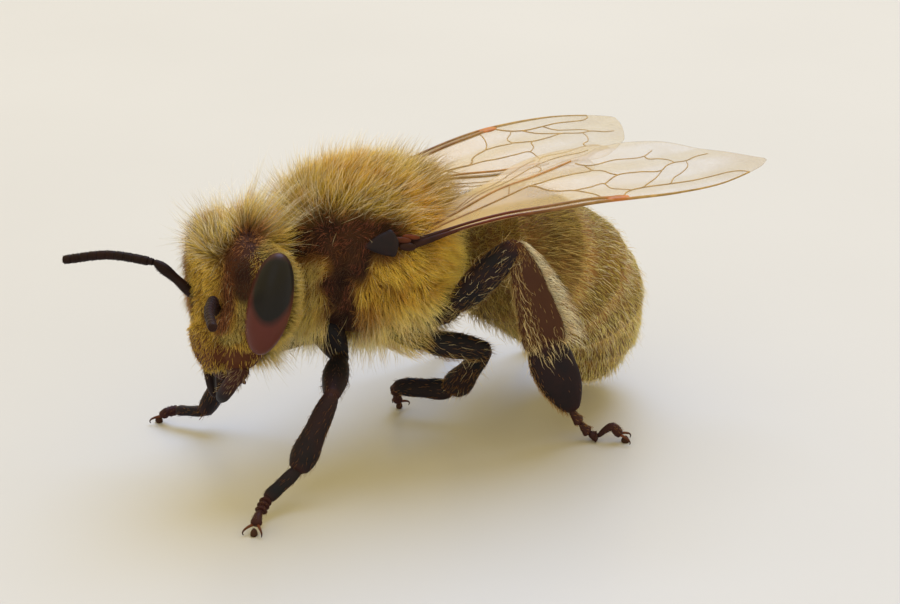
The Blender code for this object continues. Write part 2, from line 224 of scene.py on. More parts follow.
def curve(rows: Sequence[Sequence[float]], shares: Array) -> Array:
    """Values on a smooth curve through rows.

    Args:
        rows: Rows of (share, value, value, ...), with the shares rising.
        shares: Where the curve is read.

    Returns:
        One row of values for each share.
    """
    table = np.asarray(rows, float)
    at, values = table[:, 0], table[:, 1:]
    slopes = np.gradient(values, at, axis=0)
    shares = np.atleast_1d(np.asarray(shares, float))
    i = np.clip(np.searchsorted(at, shares, side="right") - 1, 0, len(at) - 2)
    span = (at[i + 1] - at[i])[:, None]
    u = np.clip((shares - at[i])[:, None] / span, 0.0, 1.0)
    return (
        (2 * u**3 - 3 * u**2 + 1) * values[i]
        + (u**3 - 2 * u**2 + u) * span * slopes[i]
        + (3 * u**2 - 2 * u**3) * values[i + 1]
        + (u**3 - u**2) * span * slopes[i + 1]
    )


def ring_points(
    centre: Array, across: Array, up: Array, wide: float, tall: float, sides: int, full: float = 2.0
) -> Array:
    """The points of one rounded section.

    Args:
        centre: Its middle.
        across: The way its width runs, where its points begin.
        up: The way its height runs.
        wide: Half its width.
        tall: Half its height.
        sides: How many points it has.
        full: 2 for an ellipse, more for a section nearer to a box.

    Returns:
        The points, one a row.
    """
    angle = 2 * np.pi * np.arange(sides) / sides
    c, s = np.cos(angle), np.sin(angle)
    x = np.sign(c) * np.abs(c) ** (2 / full) * wide
    y = np.sign(s) * np.abs(s) ** (2 / full) * tall
    return centre + x[:, None] * across + y[:, None] * up


def swept(
    path: Array, wide: Array, tall: Array, face: Array, sides: int = 12, full: float = 2.0
) -> Array:
    """Sections along a path.

    Args:
        path: The middles of the sections.
        wide: Half the width of each.
        tall: Half the height of each.
        face: The way that the broad side looks.
        sides: How many points each section has.
        full: As in ring_points.

    Returns:
        An array of sections, points and coordinates.
    """
    path = np.asarray(path, float)
    heading = unit(np.gradient(path, axis=0))
    across = unit(np.cross(heading, np.broadcast_to(face, heading.shape)))
    sections = zip(path, across, np.cross(across, heading), wide, tall)
    return np.array([ring_points(*section, sides, full) for section in sections])


# ---------------------------------------------------------------- meshes
class Shape:
    """Closed shapes in millimetres, gathered into one mesh with values kept on their points."""

    def __init__(self) -> None:
        """Starts with no shapes."""
        self.points: list[Array] = []
        self.faces: list[tuple[int, ...]] = []
        self.looks: list[int] = []
        self.uvs: list[float] = []
        self.values: dict[str, list[Array]] = {}
        self.total = 0

    def loft(self, rings: Array | list, look: int = 0, **values: Array) -> None:
        """Adds a closed shape through rings of points, closed to a point at both ends.

        Args:
            rings: Rings, points and coordinates.
            look: Which of the piece's finishes it wears.
            **values: One value or vector for each ring, or one for all, kept as an attribute.
        """
        rings = np.asarray(rings)
        count, sides = rings.shape[:2]
        first, last, start, edge = count * sides, count * sides + 1, (count - 1) * sides, 1 / (count + 1)
        faces, uvs = [], []
        for r in range(count - 1):
            low, high = (r + 1) / (count + 1), (r + 2) / (count + 1)
            for s in range(sides):
                n, u, v = (s + 1) % sides, s / sides, (s + 1) / sides
                faces.append((r * sides + s, r * sides + n, (r + 1) * sides + n, (r + 1) * sides + s))
                uvs += [(u, low), (v, low), (v, high), (u, high)]
        for s in range(sides):
            n, u, v = (s + 1) % sides, s / sides, (s + 1) / sides
            faces += [(first, n, s), (last, start + s, start + n)]
            uvs += [((u + v) / 2, 0.0), (v, edge), (u, edge)]
            uvs += [((u + v) / 2, 1.0), (u, 1 - edge), (v, 1 - edge)]
        self.faces += [tuple(i + self.total for i in face) for face in faces]
        self.looks += [look] * len(faces)
        self.uvs += list(np.ravel(uvs))
        self.points += [rings.reshape(-1, 3), rings[[0, -1]].mean(axis=1)]
        for name, value in values.items():
            value = each(value, count)
            spread = np.concatenate([np.repeat(value, sides, axis=0), value[:1], value[-1:]])
            self.values.setdefault(name, []).append(spread)
        self.total += count * sides + 2

    def tube(
        self, path: Array, radii: Array, face: Array = UP, sides: int = 8, look: int = 0, **values: Array
    ) -> None:
        """Adds a round tube along a path, its ends rounded off.

        Args:
            path: The points of its middle line.
            radii: Its radius at each point, or one radius.
            face: Any way that the path doesn't run.
            sides: How many sides it has.
            look: Which of the piece's finishes it wears.
            **values: One value or vector for each point of the path, or one for all.
        """
        path = np.asarray(path, float)
        radii = each(radii, len(path))
        ahead = unit(path[-1] - path[-2]) * radii[-1] * 0.6
        behind = unit(path[0] - path[1]) * radii[0] * 0.6
        ends = {}
        for name, value in values.items():
            whole = np.ndim(value) and len(value) == len(path)
            ends[name] = np.concatenate([value[:1], value, value[-1:]]) if whole else value
        path = np.concatenate([[path[0] + behind], path, [path[-1] + ahead]])
        radii = np.concatenate([[radii[0] * 0.5], radii, [radii[-1] * 0.5]])
        self.loft(swept(path, radii, radii, face, sides), look, **ends)

    def made(
        self, name: str, finishes: Material | Sequence[Material], slot: Slot, *nodes: str
    ) -> bpy.types.Object:
        """Makes the piece, with its faces outwards and its place in its mesh.

        Args:
            name: The piece's name.
            finishes: Its material, or its materials in the order of the looks.
            slot: The record's slot, handed on to placed.
            *nodes: The solids that it stands for.

        Returns:
            The finished piece.
        """
        mesh = bpy.data.meshes.new(name)
        mesh.from_pydata((np.concatenate(self.points) * MM + ORIGIN).tolist(), [], self.faces)
        mesh.polygons.foreach_set("material_index", self.looks)
        mesh.shade_smooth()
        mesh.uv_layers.new(name=BAKE_MAP).uv.foreach_set("vector", self.uvs)
        for key, parts in self.values.items():
            keep(mesh, key, np.concatenate(parts))
        made = bmesh.new()
        made.from_mesh(mesh)
        bmesh.ops.recalc_face_normals(made, faces=made.faces)
        made.to_mesh(mesh)
        made.free()
        for finish in finishes if isinstance(finishes, Sequence) else [finishes]:
            mesh.materials.append(finish)
        return placed(bpy.data.objects.new(name, mesh), slot, *nodes)


def keep(mesh: bpy.types.Mesh, name: str, values: Array | float) -> None:
    """Writes one value for each point of a mesh, a number, a vector or a colour with 4 parts.

    Args:
        mesh: The mesh.
        name: The attribute's name.
        values: One for each point, or one for all.
    """
    values = each(values, len(mesh.vertices))
    kind, part = {
        (): ("FLOAT", "value"), (3,): ("FLOAT_VECTOR", "vector"), (4,): ("FLOAT_COLOR", "color")
    }[values.shape[1:]]
    old = mesh.attributes.get(name)
    if old:
        mesh.attributes.remove(old)
    mesh.attributes.new(name, kind, "POINT").data.foreach_set(part, values.astype(np.float32).ravel())


def gathered(items: Sequence, part: str, width: int = 1, kind: type = np.float32) -> Array:
    """One value of each item of a mesh, a number or a row of numbers."""
    values = np.zeros(len(items) * width, kind)
    items.foreach_get(part, values)
    return values if width == 1 else values.reshape(-1, width)


def kept(mesh: bpy.types.Mesh, name: str, width: int = 1) -> Array:
    """Reads the values that keep wrote."""
    part = {1: "value", 3: "vector"}[width]
    return gathered(mesh.attributes[name].data, part, width).astype(float)


def points_of(mesh: bpy.types.Mesh) -> tuple[Array, Array]:
    """A mesh's points in the bee's own frame, in millimetres, and its normals there."""
    points = gathered(mesh.vertices, "co", 3)
    return (points - ORIGIN) / MM, gathered(mesh.vertex_normals, "vector", 3).astype(float)


def moved(obj: bpy.types.Object, offset: Array) -> None:
    """Moves each point of a piece by its own offset, in millimetres."""
    points, _ = points_of(obj.data)
    places = (points + offset) * MM + ORIGIN
    obj.data.vertices.foreach_set("co", places.astype(np.float32).ravel())
    obj.data.update()


def placed(obj: bpy.types.Object, slot: Slot, *nodes: str) -> bpy.types.Object:
    """Shows a piece, lets it ride on the body, and hides the solids that it stands for.

    Args:
        obj: The piece.
        slot: Not used.
        *nodes: The solids that it stands for.

    Returns:
        The piece.
    """
    bpy.context.scene.collection.objects.link(obj)
    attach(obj, BODY)
    if nodes:
        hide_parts(*nodes)
    log.info("%s: %d faces", obj.name, len(obj.data.polygons))
    return obj


# ---------------------------------------------------------------- node trees
class Nodes:
    """Short ways to add and link the nodes of one tree."""

    def __init__(self, tree: bpy.types.NodeTree) -> None:
        """Takes the tree that the nodes go in."""
        self.tree = tree

    def give(self, socket: Socket, value: object) -> None:
        """Links a socket to another, or gives it a value."""
        if isinstance(value, Socket):
            self.tree.links.new(value, socket)
        else:
            socket.default_value = value

    def add(self, kind: str, inputs: dict | None = None, **settings: object) -> bpy.types.Node:
        """Adds a node.

        Args:
            kind: Its type.
            inputs: Values or sockets for its inputs, by name or number.
            **settings: Its own settings.

        Returns:
            The node.
        """
        node = self.tree.nodes.new(kind)
        for name, value in settings.items():
            setattr(node, name, value)
        for name, value in (inputs or {}).items():
            self.give(node.inputs[name], value)
        return node

    def math(self, operation: str, *values: object) -> Socket:
        """The result of a sum on numbers."""
        return self.add("ShaderNodeMath", dict(enumerate(values)), operation=operation).outputs[0]

    def vector(self, operation: str, *values: object) -> Socket:
        """The result of a sum on vectors."""
        inputs = dict(enumerate(values))
        return self.add("ShaderNodeVectorMath", inputs, operation=operation).outputs[0]

    def scaled(self, vector: object, size: object) -> Socket:
        """A vector times a number."""
        inputs = {0: vector, "Scale": size}
        return self.add("ShaderNodeVectorMath", inputs, operation="SCALE").outputs[0]

    def plus(self, first: object, *others: object) -> Socket:
        """The sum of vectors."""
        for other in others:
            first = self.vector("ADD", first, other)
        return first


class Surface(Nodes):
    """A new material with its nodes, its shader and the object's own coordinates."""

    def __init__(self, name: str) -> None:
        """Makes the material with its shader."""
        self.made = bpy.data.materials.new(name)
        self.made.use_nodes = True
        super().__init__(self.made.node_tree)
        self.shader = self.tree.nodes["Principled BSDF"]
        self.place = self.add("ShaderNodeTexCoord").outputs["Object"]

    def read(self, name: str, part: str = "Fac") -> Socket:
        """A value that is kept on the mesh."""
        return self.add("ShaderNodeAttribute", attribute_name=name).outputs[part]

    def blend(self, share: object, first: object, second: object) -> Socket:
        """A colour between two colours."""
        first, second = (c if isinstance(c, Socket) else (*c, 1.0) for c in (first, second))
        return self.add("ShaderNodeMix", {0: share, 6: first, 7: second}, data_type="RGBA").outputs[2]

    def spread(
        self, value: Socket, low: float, high: float, new_low: float = 0.0, new_high: float = 1.0
    ) -> Socket:
        """A number moved from one range to another, and held there."""
        inputs = {0: value, 1: low, 2: high, 3: new_low, 4: new_high}
        return self.add("ShaderNodeMapRange", inputs).outputs[0]

    def cloud(
        self, reach: float, detail: float = 3.0, rough: float = 0.5, place: Socket | None = None
    ) -> Socket:
        """Soft noise on the piece that turns about every so many millimetres."""
        place = place or self.place
        inputs = {"Vector": place, "Scale": 1.0 / (reach * MM), "Detail": detail, "Roughness": rough}
        return self.add("ShaderNodeTexNoise", inputs).outputs[0]

    def cells(self, across: float) -> Socket:
        """Rounded cells on the piece, so many millimetres across."""
        inputs = {"Vector": self.place, "Scale": 1.0 / (across * MM)}
        return self.add("ShaderNodeTexVoronoi", inputs).outputs["Distance"]

    def finished(self, strength: float, depth: float, height: Socket, **inputs: object) -> Material:
        """The material, with a bump on it.

        Args:
            strength: The bump's strength.
            depth: Its depth in millimetres.
            height: Its height, a socket.
            **inputs: Values or sockets for the shader's inputs, with _ for each space.

        Returns:
            The material.
        """
        bump = self.add("ShaderNodeBump", {"Strength": strength, "Distance": depth * MM, "Height": height})
        for name, value in {"Normal": bump.outputs[0], **inputs}.items():
            self.give(self.shader.inputs[name.replace("_", " ")], value)
        return self.made


class Growth(Nodes):
    """A Geometry Nodes tree that makes solids, with named inputs."""

    def __init__(self, name: str, inputs: Sequence[tuple[str, str]]) -> None:
        """Makes the tree and its inputs, each with its name and its kind."""
        super().__init__(bpy.data.node_groups.new(name, "GeometryNodeTree"))
        for way, word, kind in (("OUTPUT", "Geometry", "Geometry"), *(("INPUT", *row) for row in inputs)):
            self.tree.interface.new_socket(word, in_out=way, socket_type="NodeSocket" + kind)
        self.given = self.add("NodeGroupInput").outputs

    def named(self, name: str, kind: str = "FLOAT_VECTOR") -> Socket:
        """A value that is kept on the mesh."""
        return self.add("GeometryNodeInputNamedAttribute", {"Name": name}, data_type=kind).outputs[0]

    def store(
        self, geometry: Socket, name: str, value: Socket, kind: str = "FLOAT", domain: str = "POINT"
    ) -> Socket:
        """The geometry with one more value kept on it."""
        inputs = {"Geometry": geometry, "Name": name, "Value": value}
        node = self.add("GeometryNodeStoreNamedAttribute", inputs, data_type=kind, domain=domain)
        return node.outputs[0]

    def chance(self, low: float, high: float, seed: int) -> Socket:
        """A random number for each point."""
        inputs = {2: low, 3: high, "Seed": seed}
        return self.add("FunctionNodeRandomValue", inputs, data_type="FLOAT").outputs[1]

    def ended(self, geometry: Socket) -> bpy.types.NodeTree:
        """The tree, ended with the geometry made plain and dressed in the given finish."""
        real = self.add("GeometryNodeRealizeInstances", {"Geometry": geometry}).outputs[0]
        inputs = {"Geometry": real, "Material": self.given["Finish"]}
        dressed = self.add("GeometryNodeSetMaterial", inputs)
        self.add("NodeGroupOutput", {"Geometry": dressed.outputs[0]})
        return self.tree


def run(tree: bpy.types.NodeTree, mesh: bpy.types.Mesh, values: Sequence, name: str) -> bpy.types.Mesh:
    """Runs a tree on a mesh.

    Args:
        tree: The Geometry Nodes tree.
        mesh: The mesh that it starts from.
        values: Values for the last of its inputs.
        name: A name for what it makes.

    Returns:
        The plain mesh that it makes.
    """
    bed = bpy.data.objects.new(name + "_bed", mesh)
    bpy.context.scene.collection.objects.link(bed)
    runner = bed.modifiers.new("runner", "NODES")
    runner.node_group = tree
    sockets = [s for s in tree.interface.items_tree if s.in_out == "INPUT"][-len(values):]
    for socket, value in zip(sockets, values):
        runner[socket.identifier] = value
    graph = bpy.context.evaluated_depsgraph_get()
    made = bpy.data.meshes.new_from_object(bed.evaluated_get(graph))
    made.name = name
    bpy.data.objects.remove(bed)
    return made


# ---------------------------------------------------------------- finishes
@dataclass(frozen=True)
class Cuticle:
    """The shell of an insect, dark and a little glossy, finely pitted and mottled."""

    name: str
    dark: Color
    light: Color
    rough: float = 0.42
    pit: float = 0.045  # size of the pits
    depth: float = 0.006
    gloss: float = 0.35
    marked: bool = False  # takes its colour from the skin's own markings

    def material(self) -> Material:
        """The finish as a material.

        Returns:
            The material.
        """
        nodes = Surface(self.name)
        share = nodes.spread(nodes.cloud(0.3 / 0.35, 4.0, 0.6), 0.38, 0.66)
        color = nodes.blend(share, self.dark, self.light)
        if self.marked:
            marks = nodes.read("marking", "Color")
            color = nodes.blend(nodes.math("MULTIPLY", share, 0.35), marks, self.light)
        pits = nodes.spread(nodes.cells(self.pit), 0.0, 0.55)
        height = nodes.math("ADD", pits, nodes.math("MULTIPLY", nodes.cloud(0.02, 2.0), 0.35))
        return nodes.finished(
            0.7, self.depth, height, Base_Color=color, Specular_IOR_Level=self.gloss,
            Roughness=nodes.spread(nodes.cloud(0.5), 0.3, 0.7, self.rough - 0.08, self.rough + 0.14),
        )


@dataclass(frozen=True)
class Fur:
    """Fine hair, darker at the root and pale at the tip, each hair in its own shade, with painted shade in
    soft orange-brown patches between the tufts.
    """

    name: str
    rough: float = 0.5
    sheen: float = 0.05

    def material(self) -> Material:
        """The finish as a material.

        Returns:
            The material.
        """
        nodes = Surface(self.name)
        along, shade = nodes.spread(nodes.read("along"), 0.1, 1.0), nodes.read("shade")
        color = nodes.blend(along, nodes.read("root_color", "Color"), nodes.read("tip_color", "Color"))
        # painted shade: soft orange-brown patches that stand in for the shadows between the tufts
        tuft_shade_color = nodes.vector("MULTIPLY", color, (0.8, 0.58, 0.4))
        painted_tuft_shade = nodes.spread(nodes.cloud(0.3, 2.0), 0.48, 0.72, 0.0, 0.7)
        color = nodes.scaled(nodes.blend(painted_tuft_shade, color, tuft_shade_color), nodes.spread(shade, 0.0, 1.0, 0.8, 1.2))
        return nodes.finished(
            0.3, 0.002, nodes.cloud(0.015, 1.0), Base_Color=color, Sheen_Weight=self.sheen,
            Roughness=nodes.spread(shade, 0.0, 1.0, self.rough - 0.08, self.rough + 0.1),
            Specular_IOR_Level=0.2,
        )


@dataclass(frozen=True)
class EyeGlass:
    """The lenses of a compound eye, near black above and a deep red brown below."""

    name: str
    upper: Color = (0.012, 0.011, 0.012)
    lower: Color = (0.098, 0.026, 0.022)

    def material(self) -> Material:
        """The finish as a material.

        Returns:
            The material.
        """
        nodes = Surface(self.name)
        dusk = nodes.math("ADD", nodes.read("dusk"), nodes.math("MULTIPLY", nodes.cloud(0.5), 0.2))
        return nodes.finished(
            0.2, 0.001, nodes.cloud(0.008, 1.0),
            Base_Color=nodes.blend(nodes.spread(dusk, 0.96, 1.26), self.upper, self.lower),
            Roughness=nodes.spread(nodes.cloud(0.25), 0.3, 0.7, 0.3, 0.44),
            Specular_IOR_Level=0.16,
        )


@dataclass(frozen=True)
class Membrane:
    """The clear skin of a wing, faintly amber and smoky, with a pearly shine and fine pleats."""

    name: str
    base: Color = (0.74, 0.51, 0.2)
    edge: Color = (0.5, 0.41, 0.28)
    alpha: float = 0.33

    def material(self) -> Material:
        """The finish as a material.

        Returns:
            The material.
        """
        nodes = Surface(self.name)
        out, cloud = nodes.read("share"), nodes.cloud(0.9)
        veil = nodes.math(
            "ADD", nodes.spread(out, 0.0, 0.75, self.alpha + 0.24, self.alpha - 0.07),
            nodes.spread(cloud, 0.3, 0.7, -0.06, 0.06),
        )
        pleats = nodes.cloud(0.12, place=nodes.vector("MULTIPLY", nodes.place, (1.0, 0.35, 1.0)))
        return nodes.finished(
            0.5, 0.012, nodes.math("ADD", pleats, nodes.math("MULTIPLY", nodes.cells(0.05), 0.3)),
            Base_Color=nodes.blend(nodes.spread(out, 0.1, 0.75), self.base, self.edge),
            Roughness=nodes.spread(cloud, 0.3, 0.7, 0.2, 0.36),
            Alpha=nodes.math("ADD", veil, nodes.spread(out, 0.75, 0.96, 0.0, 0.14)),
            Specular_IOR_Level=0.5, Specular_Tint=(1.0, 0.82, 0.55, 1.0), Sheen_Weight=0.05,
        )


@dataclass(frozen=True)
class Vein:
    """The veins of a wing, black at the root, red brown along the front and amber further out."""

    name: str
    root: Color = (0.03, 0.012, 0.01)
    middle: Color = (0.11, 0.024, 0.01)
    out: Color = (0.42, 0.27, 0.1)
    stain: Color = (0.5, 0.16, 0.04)

    def material(self) -> Material:
        """The finish as a material.

        Returns:
            The material.
        """
        nodes = Surface(self.name)
        share = nodes.read("share")
        color = nodes.blend(nodes.spread(share, 0.06, 0.2), self.root, self.middle)
        color = nodes.blend(nodes.spread(share, 0.26, 0.62), color, self.out)
        color = nodes.blend(nodes.math("MULTIPLY", nodes.read("warm"), 0.8), color, self.stain)
        tone = nodes.spread(nodes.cloud(0.2), 0.3, 0.7, 0.75, 1.25)
        return nodes.finished(
            0.4, 0.004, nodes.cloud(0.03, 2.0), Base_Color=nodes.scaled(color, tone),
            Roughness=nodes.spread(tone, 0.75, 1.25, 0.28, 0.45), Specular_IOR_Level=0.1,
        )


@dataclass(frozen=True)
class PaleFloor:
    """A plain pale ground with the faintest shine and unevenness."""

    name: str
    color: Color = (0.56, 0.55, 0.53)

    def material(self) -> Material:
        """The finish as a material.

        Returns:
            The material.
        """
        nodes = Surface(self.name)
        tone = nodes.spread(nodes.cloud(14.0), 0.3, 0.7, 0.985, 1.015)
        return nodes.finished(
            0.12, 0.05, nodes.cloud(1.6, 4.0), Base_Color=nodes.scaled(self.color, tone),
            Roughness=0.38, Specular_IOR_Level=0.3,
        )


CREAM: Color = (0.98, 0.9, 0.66)
BUFF: Color = (0.62, 0.52, 0.33)
BROWN: Color = (0.13, 0.06, 0.028)
RED_BROWN: Color = (0.085, 0.022, 0.018)
# painted sheen: the faint blue in the shell's black stands in for a haze of light over the dark parts
SHELL_BLACK: Color = (0.0105, 0.0105, 0.0155)
SHELL_RED: Color = (0.046, 0.016, 0.016)
AMBER: Color = (0.42, 0.2, 0.07)


def one(finish: object) -> Material:
    """A field that makes a finish's material once."""
    return field(default_factory=finish.material)


@dataclass
class Finishes:
    """The finishes that the parts of the bee share."""

    skin: Material = one(Cuticle("marked_skin", BROWN, (0.12, 0.05, 0.02), 0.55, 0.05, 0.008, 0.05, True))
    plate: Material = one(Cuticle("belly_plate", BROWN, AMBER, 0.42, 0.06, 0.004, 0.2, True))
    leg: Material = one(Cuticle("leg_shell", SHELL_BLACK, SHELL_RED, 0.46, 0.03, 0.003, 0.1, True))
    fur: Material = one(Fur("fur"))
    bristle: Material = one(Fur("bristle", 0.42, 0.03))
    eye: Material = one(EyeGlass("eye_lenses"))
    membrane: Material = one(Membrane("wing_membrane"))
    vein: Material = one(Vein("wing_vein"))


# ---------------------------------------------------------------- coats
@dataclass
class Pelt:
    """How hair grows on a skin: one row for each of its points, or one value for them all."""

    lie: Array  # the way it lies
    flat: Array | float  # 0 where it stands up, 1 where it lies along the skin
    length: Array | float  # millimetres
    density: Array | float  # a share of the coat's own density
    root: Array | Color  # colour at the root
    tip: Array | Color  # colour at the tip


@dataclass
class Coat:
    """One kind of coat, and the Geometry Nodes tree that grows it as solid hairs."""

    per_mm2: float = 300.0
    rings: int = 4  # sections along a hair
    width: float = 0.011  # half the thickness of a hair at its root
    clump: float = 0.1  # how far across a tuft is
    pull: float = 0.45  # how far the tips of a tuft lean together
    frizz: float = 0.05
    scatter: float = 0.35  # how unevenly hairs point
    curl: float = 0.35  # how far a hair turns over towards its lie
    seed: int = 1

    KEPT = ("along", "shade", "root_color", "tip_color", BAKE_MAP)
    SIDES = 3  # of a hair
    TAPER = 1.6  # how late a hair thins out
    THINNED = 0.88  # the share of its width that is gone at its tip
    WAVE = 0.22  # millimetres that a hair goes before it wavers

    def inputs(self, finish: Material) -> tuple[tuple[str, str, object], ...]:
        """The tree's inputs: the name, the kind and this coat's value of each.

        Args:
            finish: The hair's material.

        Returns:
            One row for each input.
        """
        return (
            ("Seed", "Int", self.seed),
            ("Hairs per area", "Float", self.per_mm2 / MM**2),
            ("Rings", "Int", self.rings),
            ("Half width", "Float", self.width * MM),
            ("Clump size", "Float", self.clump * MM),
            ("Clump pull", "Float", self.pull),
            ("Frizz", "Float", self.frizz * MM),
            ("Scatter", "Float", self.scatter),
            ("Curl", "Float", self.curl),
            ("Patch", "Float", BAKE_PATCH),
            ("Finish", "Material", finish),
        )

    def tree(self, finish: Material) -> bpy.types.NodeTree:
        """The tree that grows a coat, made once and shared."""
        found = bpy.data.node_groups.get("grow_coat")
        if found:
            return found
        rows = [("Geometry", "Geometry"), *(row[:2] for row in self.inputs(finish))]
        nodes = Growth("grow_coat", rows)
        return nodes.ended(self.strands(nodes, self.roots(nodes)))

    @staticmethod
    def roots(nodes: Growth) -> Socket:
        """The roots of the hairs, with what each hair needs to know kept on them.

        Args:
            nodes: The tree's nodes.

        Returns:
            The points of the roots.
        """
        given, named, scaled = nodes.given, nodes.named, nodes.scaled
        thick = nodes.math("MULTIPLY", given["Hairs per area"], named("density", "FLOAT"))
        inputs = {"Mesh": given["Geometry"], "Density": thick, "Seed": given["Seed"]}
        spread = nodes.add("GeometryNodeDistributePointsOnFaces", inputs)
        place = nodes.add("GeometryNodeInputPosition").outputs[0]
        lie = named("lie")
        inputs = {0: (-1.0, -1.0, -1.0), 1: (1.0, 1.0, 1.0), "Seed": 11}
        chance = nodes.add("FunctionNodeRandomValue", inputs, data_type="FLOAT_VECTOR").outputs[0]
        flat = named("flat", "FLOAT")
        standing = scaled(spread.outputs["Normal"], nodes.math("SUBTRACT", 1.0, flat))
        growth = nodes.plus(standing, scaled(lie, flat), scaled(chance, given["Scatter"]))
        inputs = {"Vector": scaled(place, nodes.math("DIVIDE", 1.0, given["Clump size"])), "Scale": 1.0}
        cell = nodes.add("ShaderNodeTexVoronoi", inputs).outputs["Position"]
        towards = nodes.vector("SUBTRACT", scaled(cell, given["Clump size"]), place)
        varied, shade = nodes.chance(0.6, 1.12, 12), nodes.chance(0.0, 1.0, 13)
        points = spread.outputs["Points"]
        for name, value in (
            ("root", place),
            ("growth", nodes.vector("NORMALIZE", growth)),
            ("gather", scaled(towards, given["Clump pull"])),
            ("root_uv", named(BAKE_MAP)),
        ):
            points = nodes.store(points, name, value, "FLOAT_VECTOR")
        points = nodes.store(points, "long", nodes.math("MULTIPLY", named("length", "FLOAT"), varied))
        return nodes.store(points, "shade", shade)

    @staticmethod
    def strands(nodes: Growth, points: Socket) -> Socket:
        """The hairs on their roots, as closed and tapered solids.

        Args:
            nodes: The tree's nodes.
            points: The roots.

        Returns:
            The hairs.
        """
        given, named, scaled, add = nodes.given, nodes.named, nodes.scaled, nodes.add
        line = add("GeometryNodeCurvePrimitiveLine", {"End": (0.0, 0.0, 1.0)}).outputs[0]
        stalk = add("GeometryNodeResampleCurve", {"Curve": line, "Count": given["Rings"]}).outputs[0]
        stalks = add("GeometryNodeInstanceOnPoints", {"Points": points, "Instance": stalk}).outputs[0]
        real = add("GeometryNodeRealizeInstances", {"Geometry": stalks}).outputs[0]
        real = nodes.store(real, "along", add("GeometryNodeSplineParameter").outputs["Factor"])
        along, growth, root = named("along", "FLOAT"), named("growth"), named("root")
        turn = nodes.math("MULTIPLY", nodes.math("POWER", along, 2.0), given["Curl"])
        bent = nodes.vector("SUBTRACT", named("lie"), growth)
        body = scaled(nodes.plus(scaled(growth, along), scaled(bent, turn)), named("long", "FLOAT"))
        gather = scaled(named("gather"), nodes.math("POWER", along, 1.5))
        middle = nodes.plus(root, scaled(body, 0.6))
        inputs = {"Vector": middle, "Scale": 1.0 / (Coat.WAVE * MM), "Detail": 1.0}
        waver = add("ShaderNodeTexNoise", inputs).outputs["Color"]
        sway = nodes.vector("SUBTRACT", waver, (0.5, 0.5, 0.5))
        frizz = scaled(sway, nodes.math("MULTIPLY", along, given["Frizz"]))
        place = nodes.plus(nodes.plus(root, body), nodes.plus(gather, frizz))
        shaped = add("GeometryNodeSetPosition", {"Geometry": real, "Position": place}).outputs[0]
        thin = nodes.math("MULTIPLY", nodes.math("POWER", along, Coat.TAPER), Coat.THINNED)
        inputs = {"Resolution": Coat.SIDES, "Radius": 1.0}
        profile = add("GeometryNodeCurvePrimitiveCircle", inputs).outputs[0]
        number = add("GeometryNodeInputIndex").outputs[0]
        solid = add("GeometryNodeCurveToMesh", {
            "Curve": shaped,
            "Profile Curve": nodes.store(profile, "around", nodes.math("DIVIDE", number, float(Coat.SIDES))),
            "Scale": nodes.math("MULTIPLY", nodes.math("SUBTRACT", 1.0, thin), given["Half width"]),
            "Fill Caps": True,
        }).outputs[0]
        corner = {"X": named("around", "FLOAT"), "Y": named("along", "FLOAT")}
        corner = add("ShaderNodeCombineXYZ", corner).outputs[0]
        mapped = nodes.plus(named("root_uv"), scaled(corner, given["Patch"]))
        solid = nodes.store(solid, BAKE_MAP, mapped, "FLOAT2", "CORNER")
        return add("GeometryNodeSetShadeSmooth", {"Geometry": solid}).outputs[0]

    def grow(self, name: str, skin: bpy.types.Object, pelt: Pelt, finish: Material, slot: Slot) -> None:
        """Grows the coat on a skin, as a piece of its own.

        Args:
            name: The coat's name.
            skin: The piece that it grows on.
            pelt: How the hair grows at each point of the skin.
            finish: The hair's material.
            slot: The record's slot, handed on to placed.
        """
        mesh = skin.data.copy()
        for word, values in (
            ("lie", unit(pelt.lie)),
            ("flat", pelt.flat),
            ("length", np.asarray(pelt.length) * MM),
            ("density", pelt.density),
            ("root_color", tinted(pelt.root)),
            ("tip_color", tinted(pelt.tip)),
        ):
            keep(mesh, word, values)
        made = run(self.tree(finish), mesh, [row[2] for row in self.inputs(finish)], name)
        for spare in [a.name for a in made.attributes if not (a.is_internal or a.is_required)]:
            if spare not in (*self.KEPT, "sharp_face", "material_index"):
                made.attributes.remove(made.attributes[spare])
        placed(bpy.data.objects.new(name, made), slot)


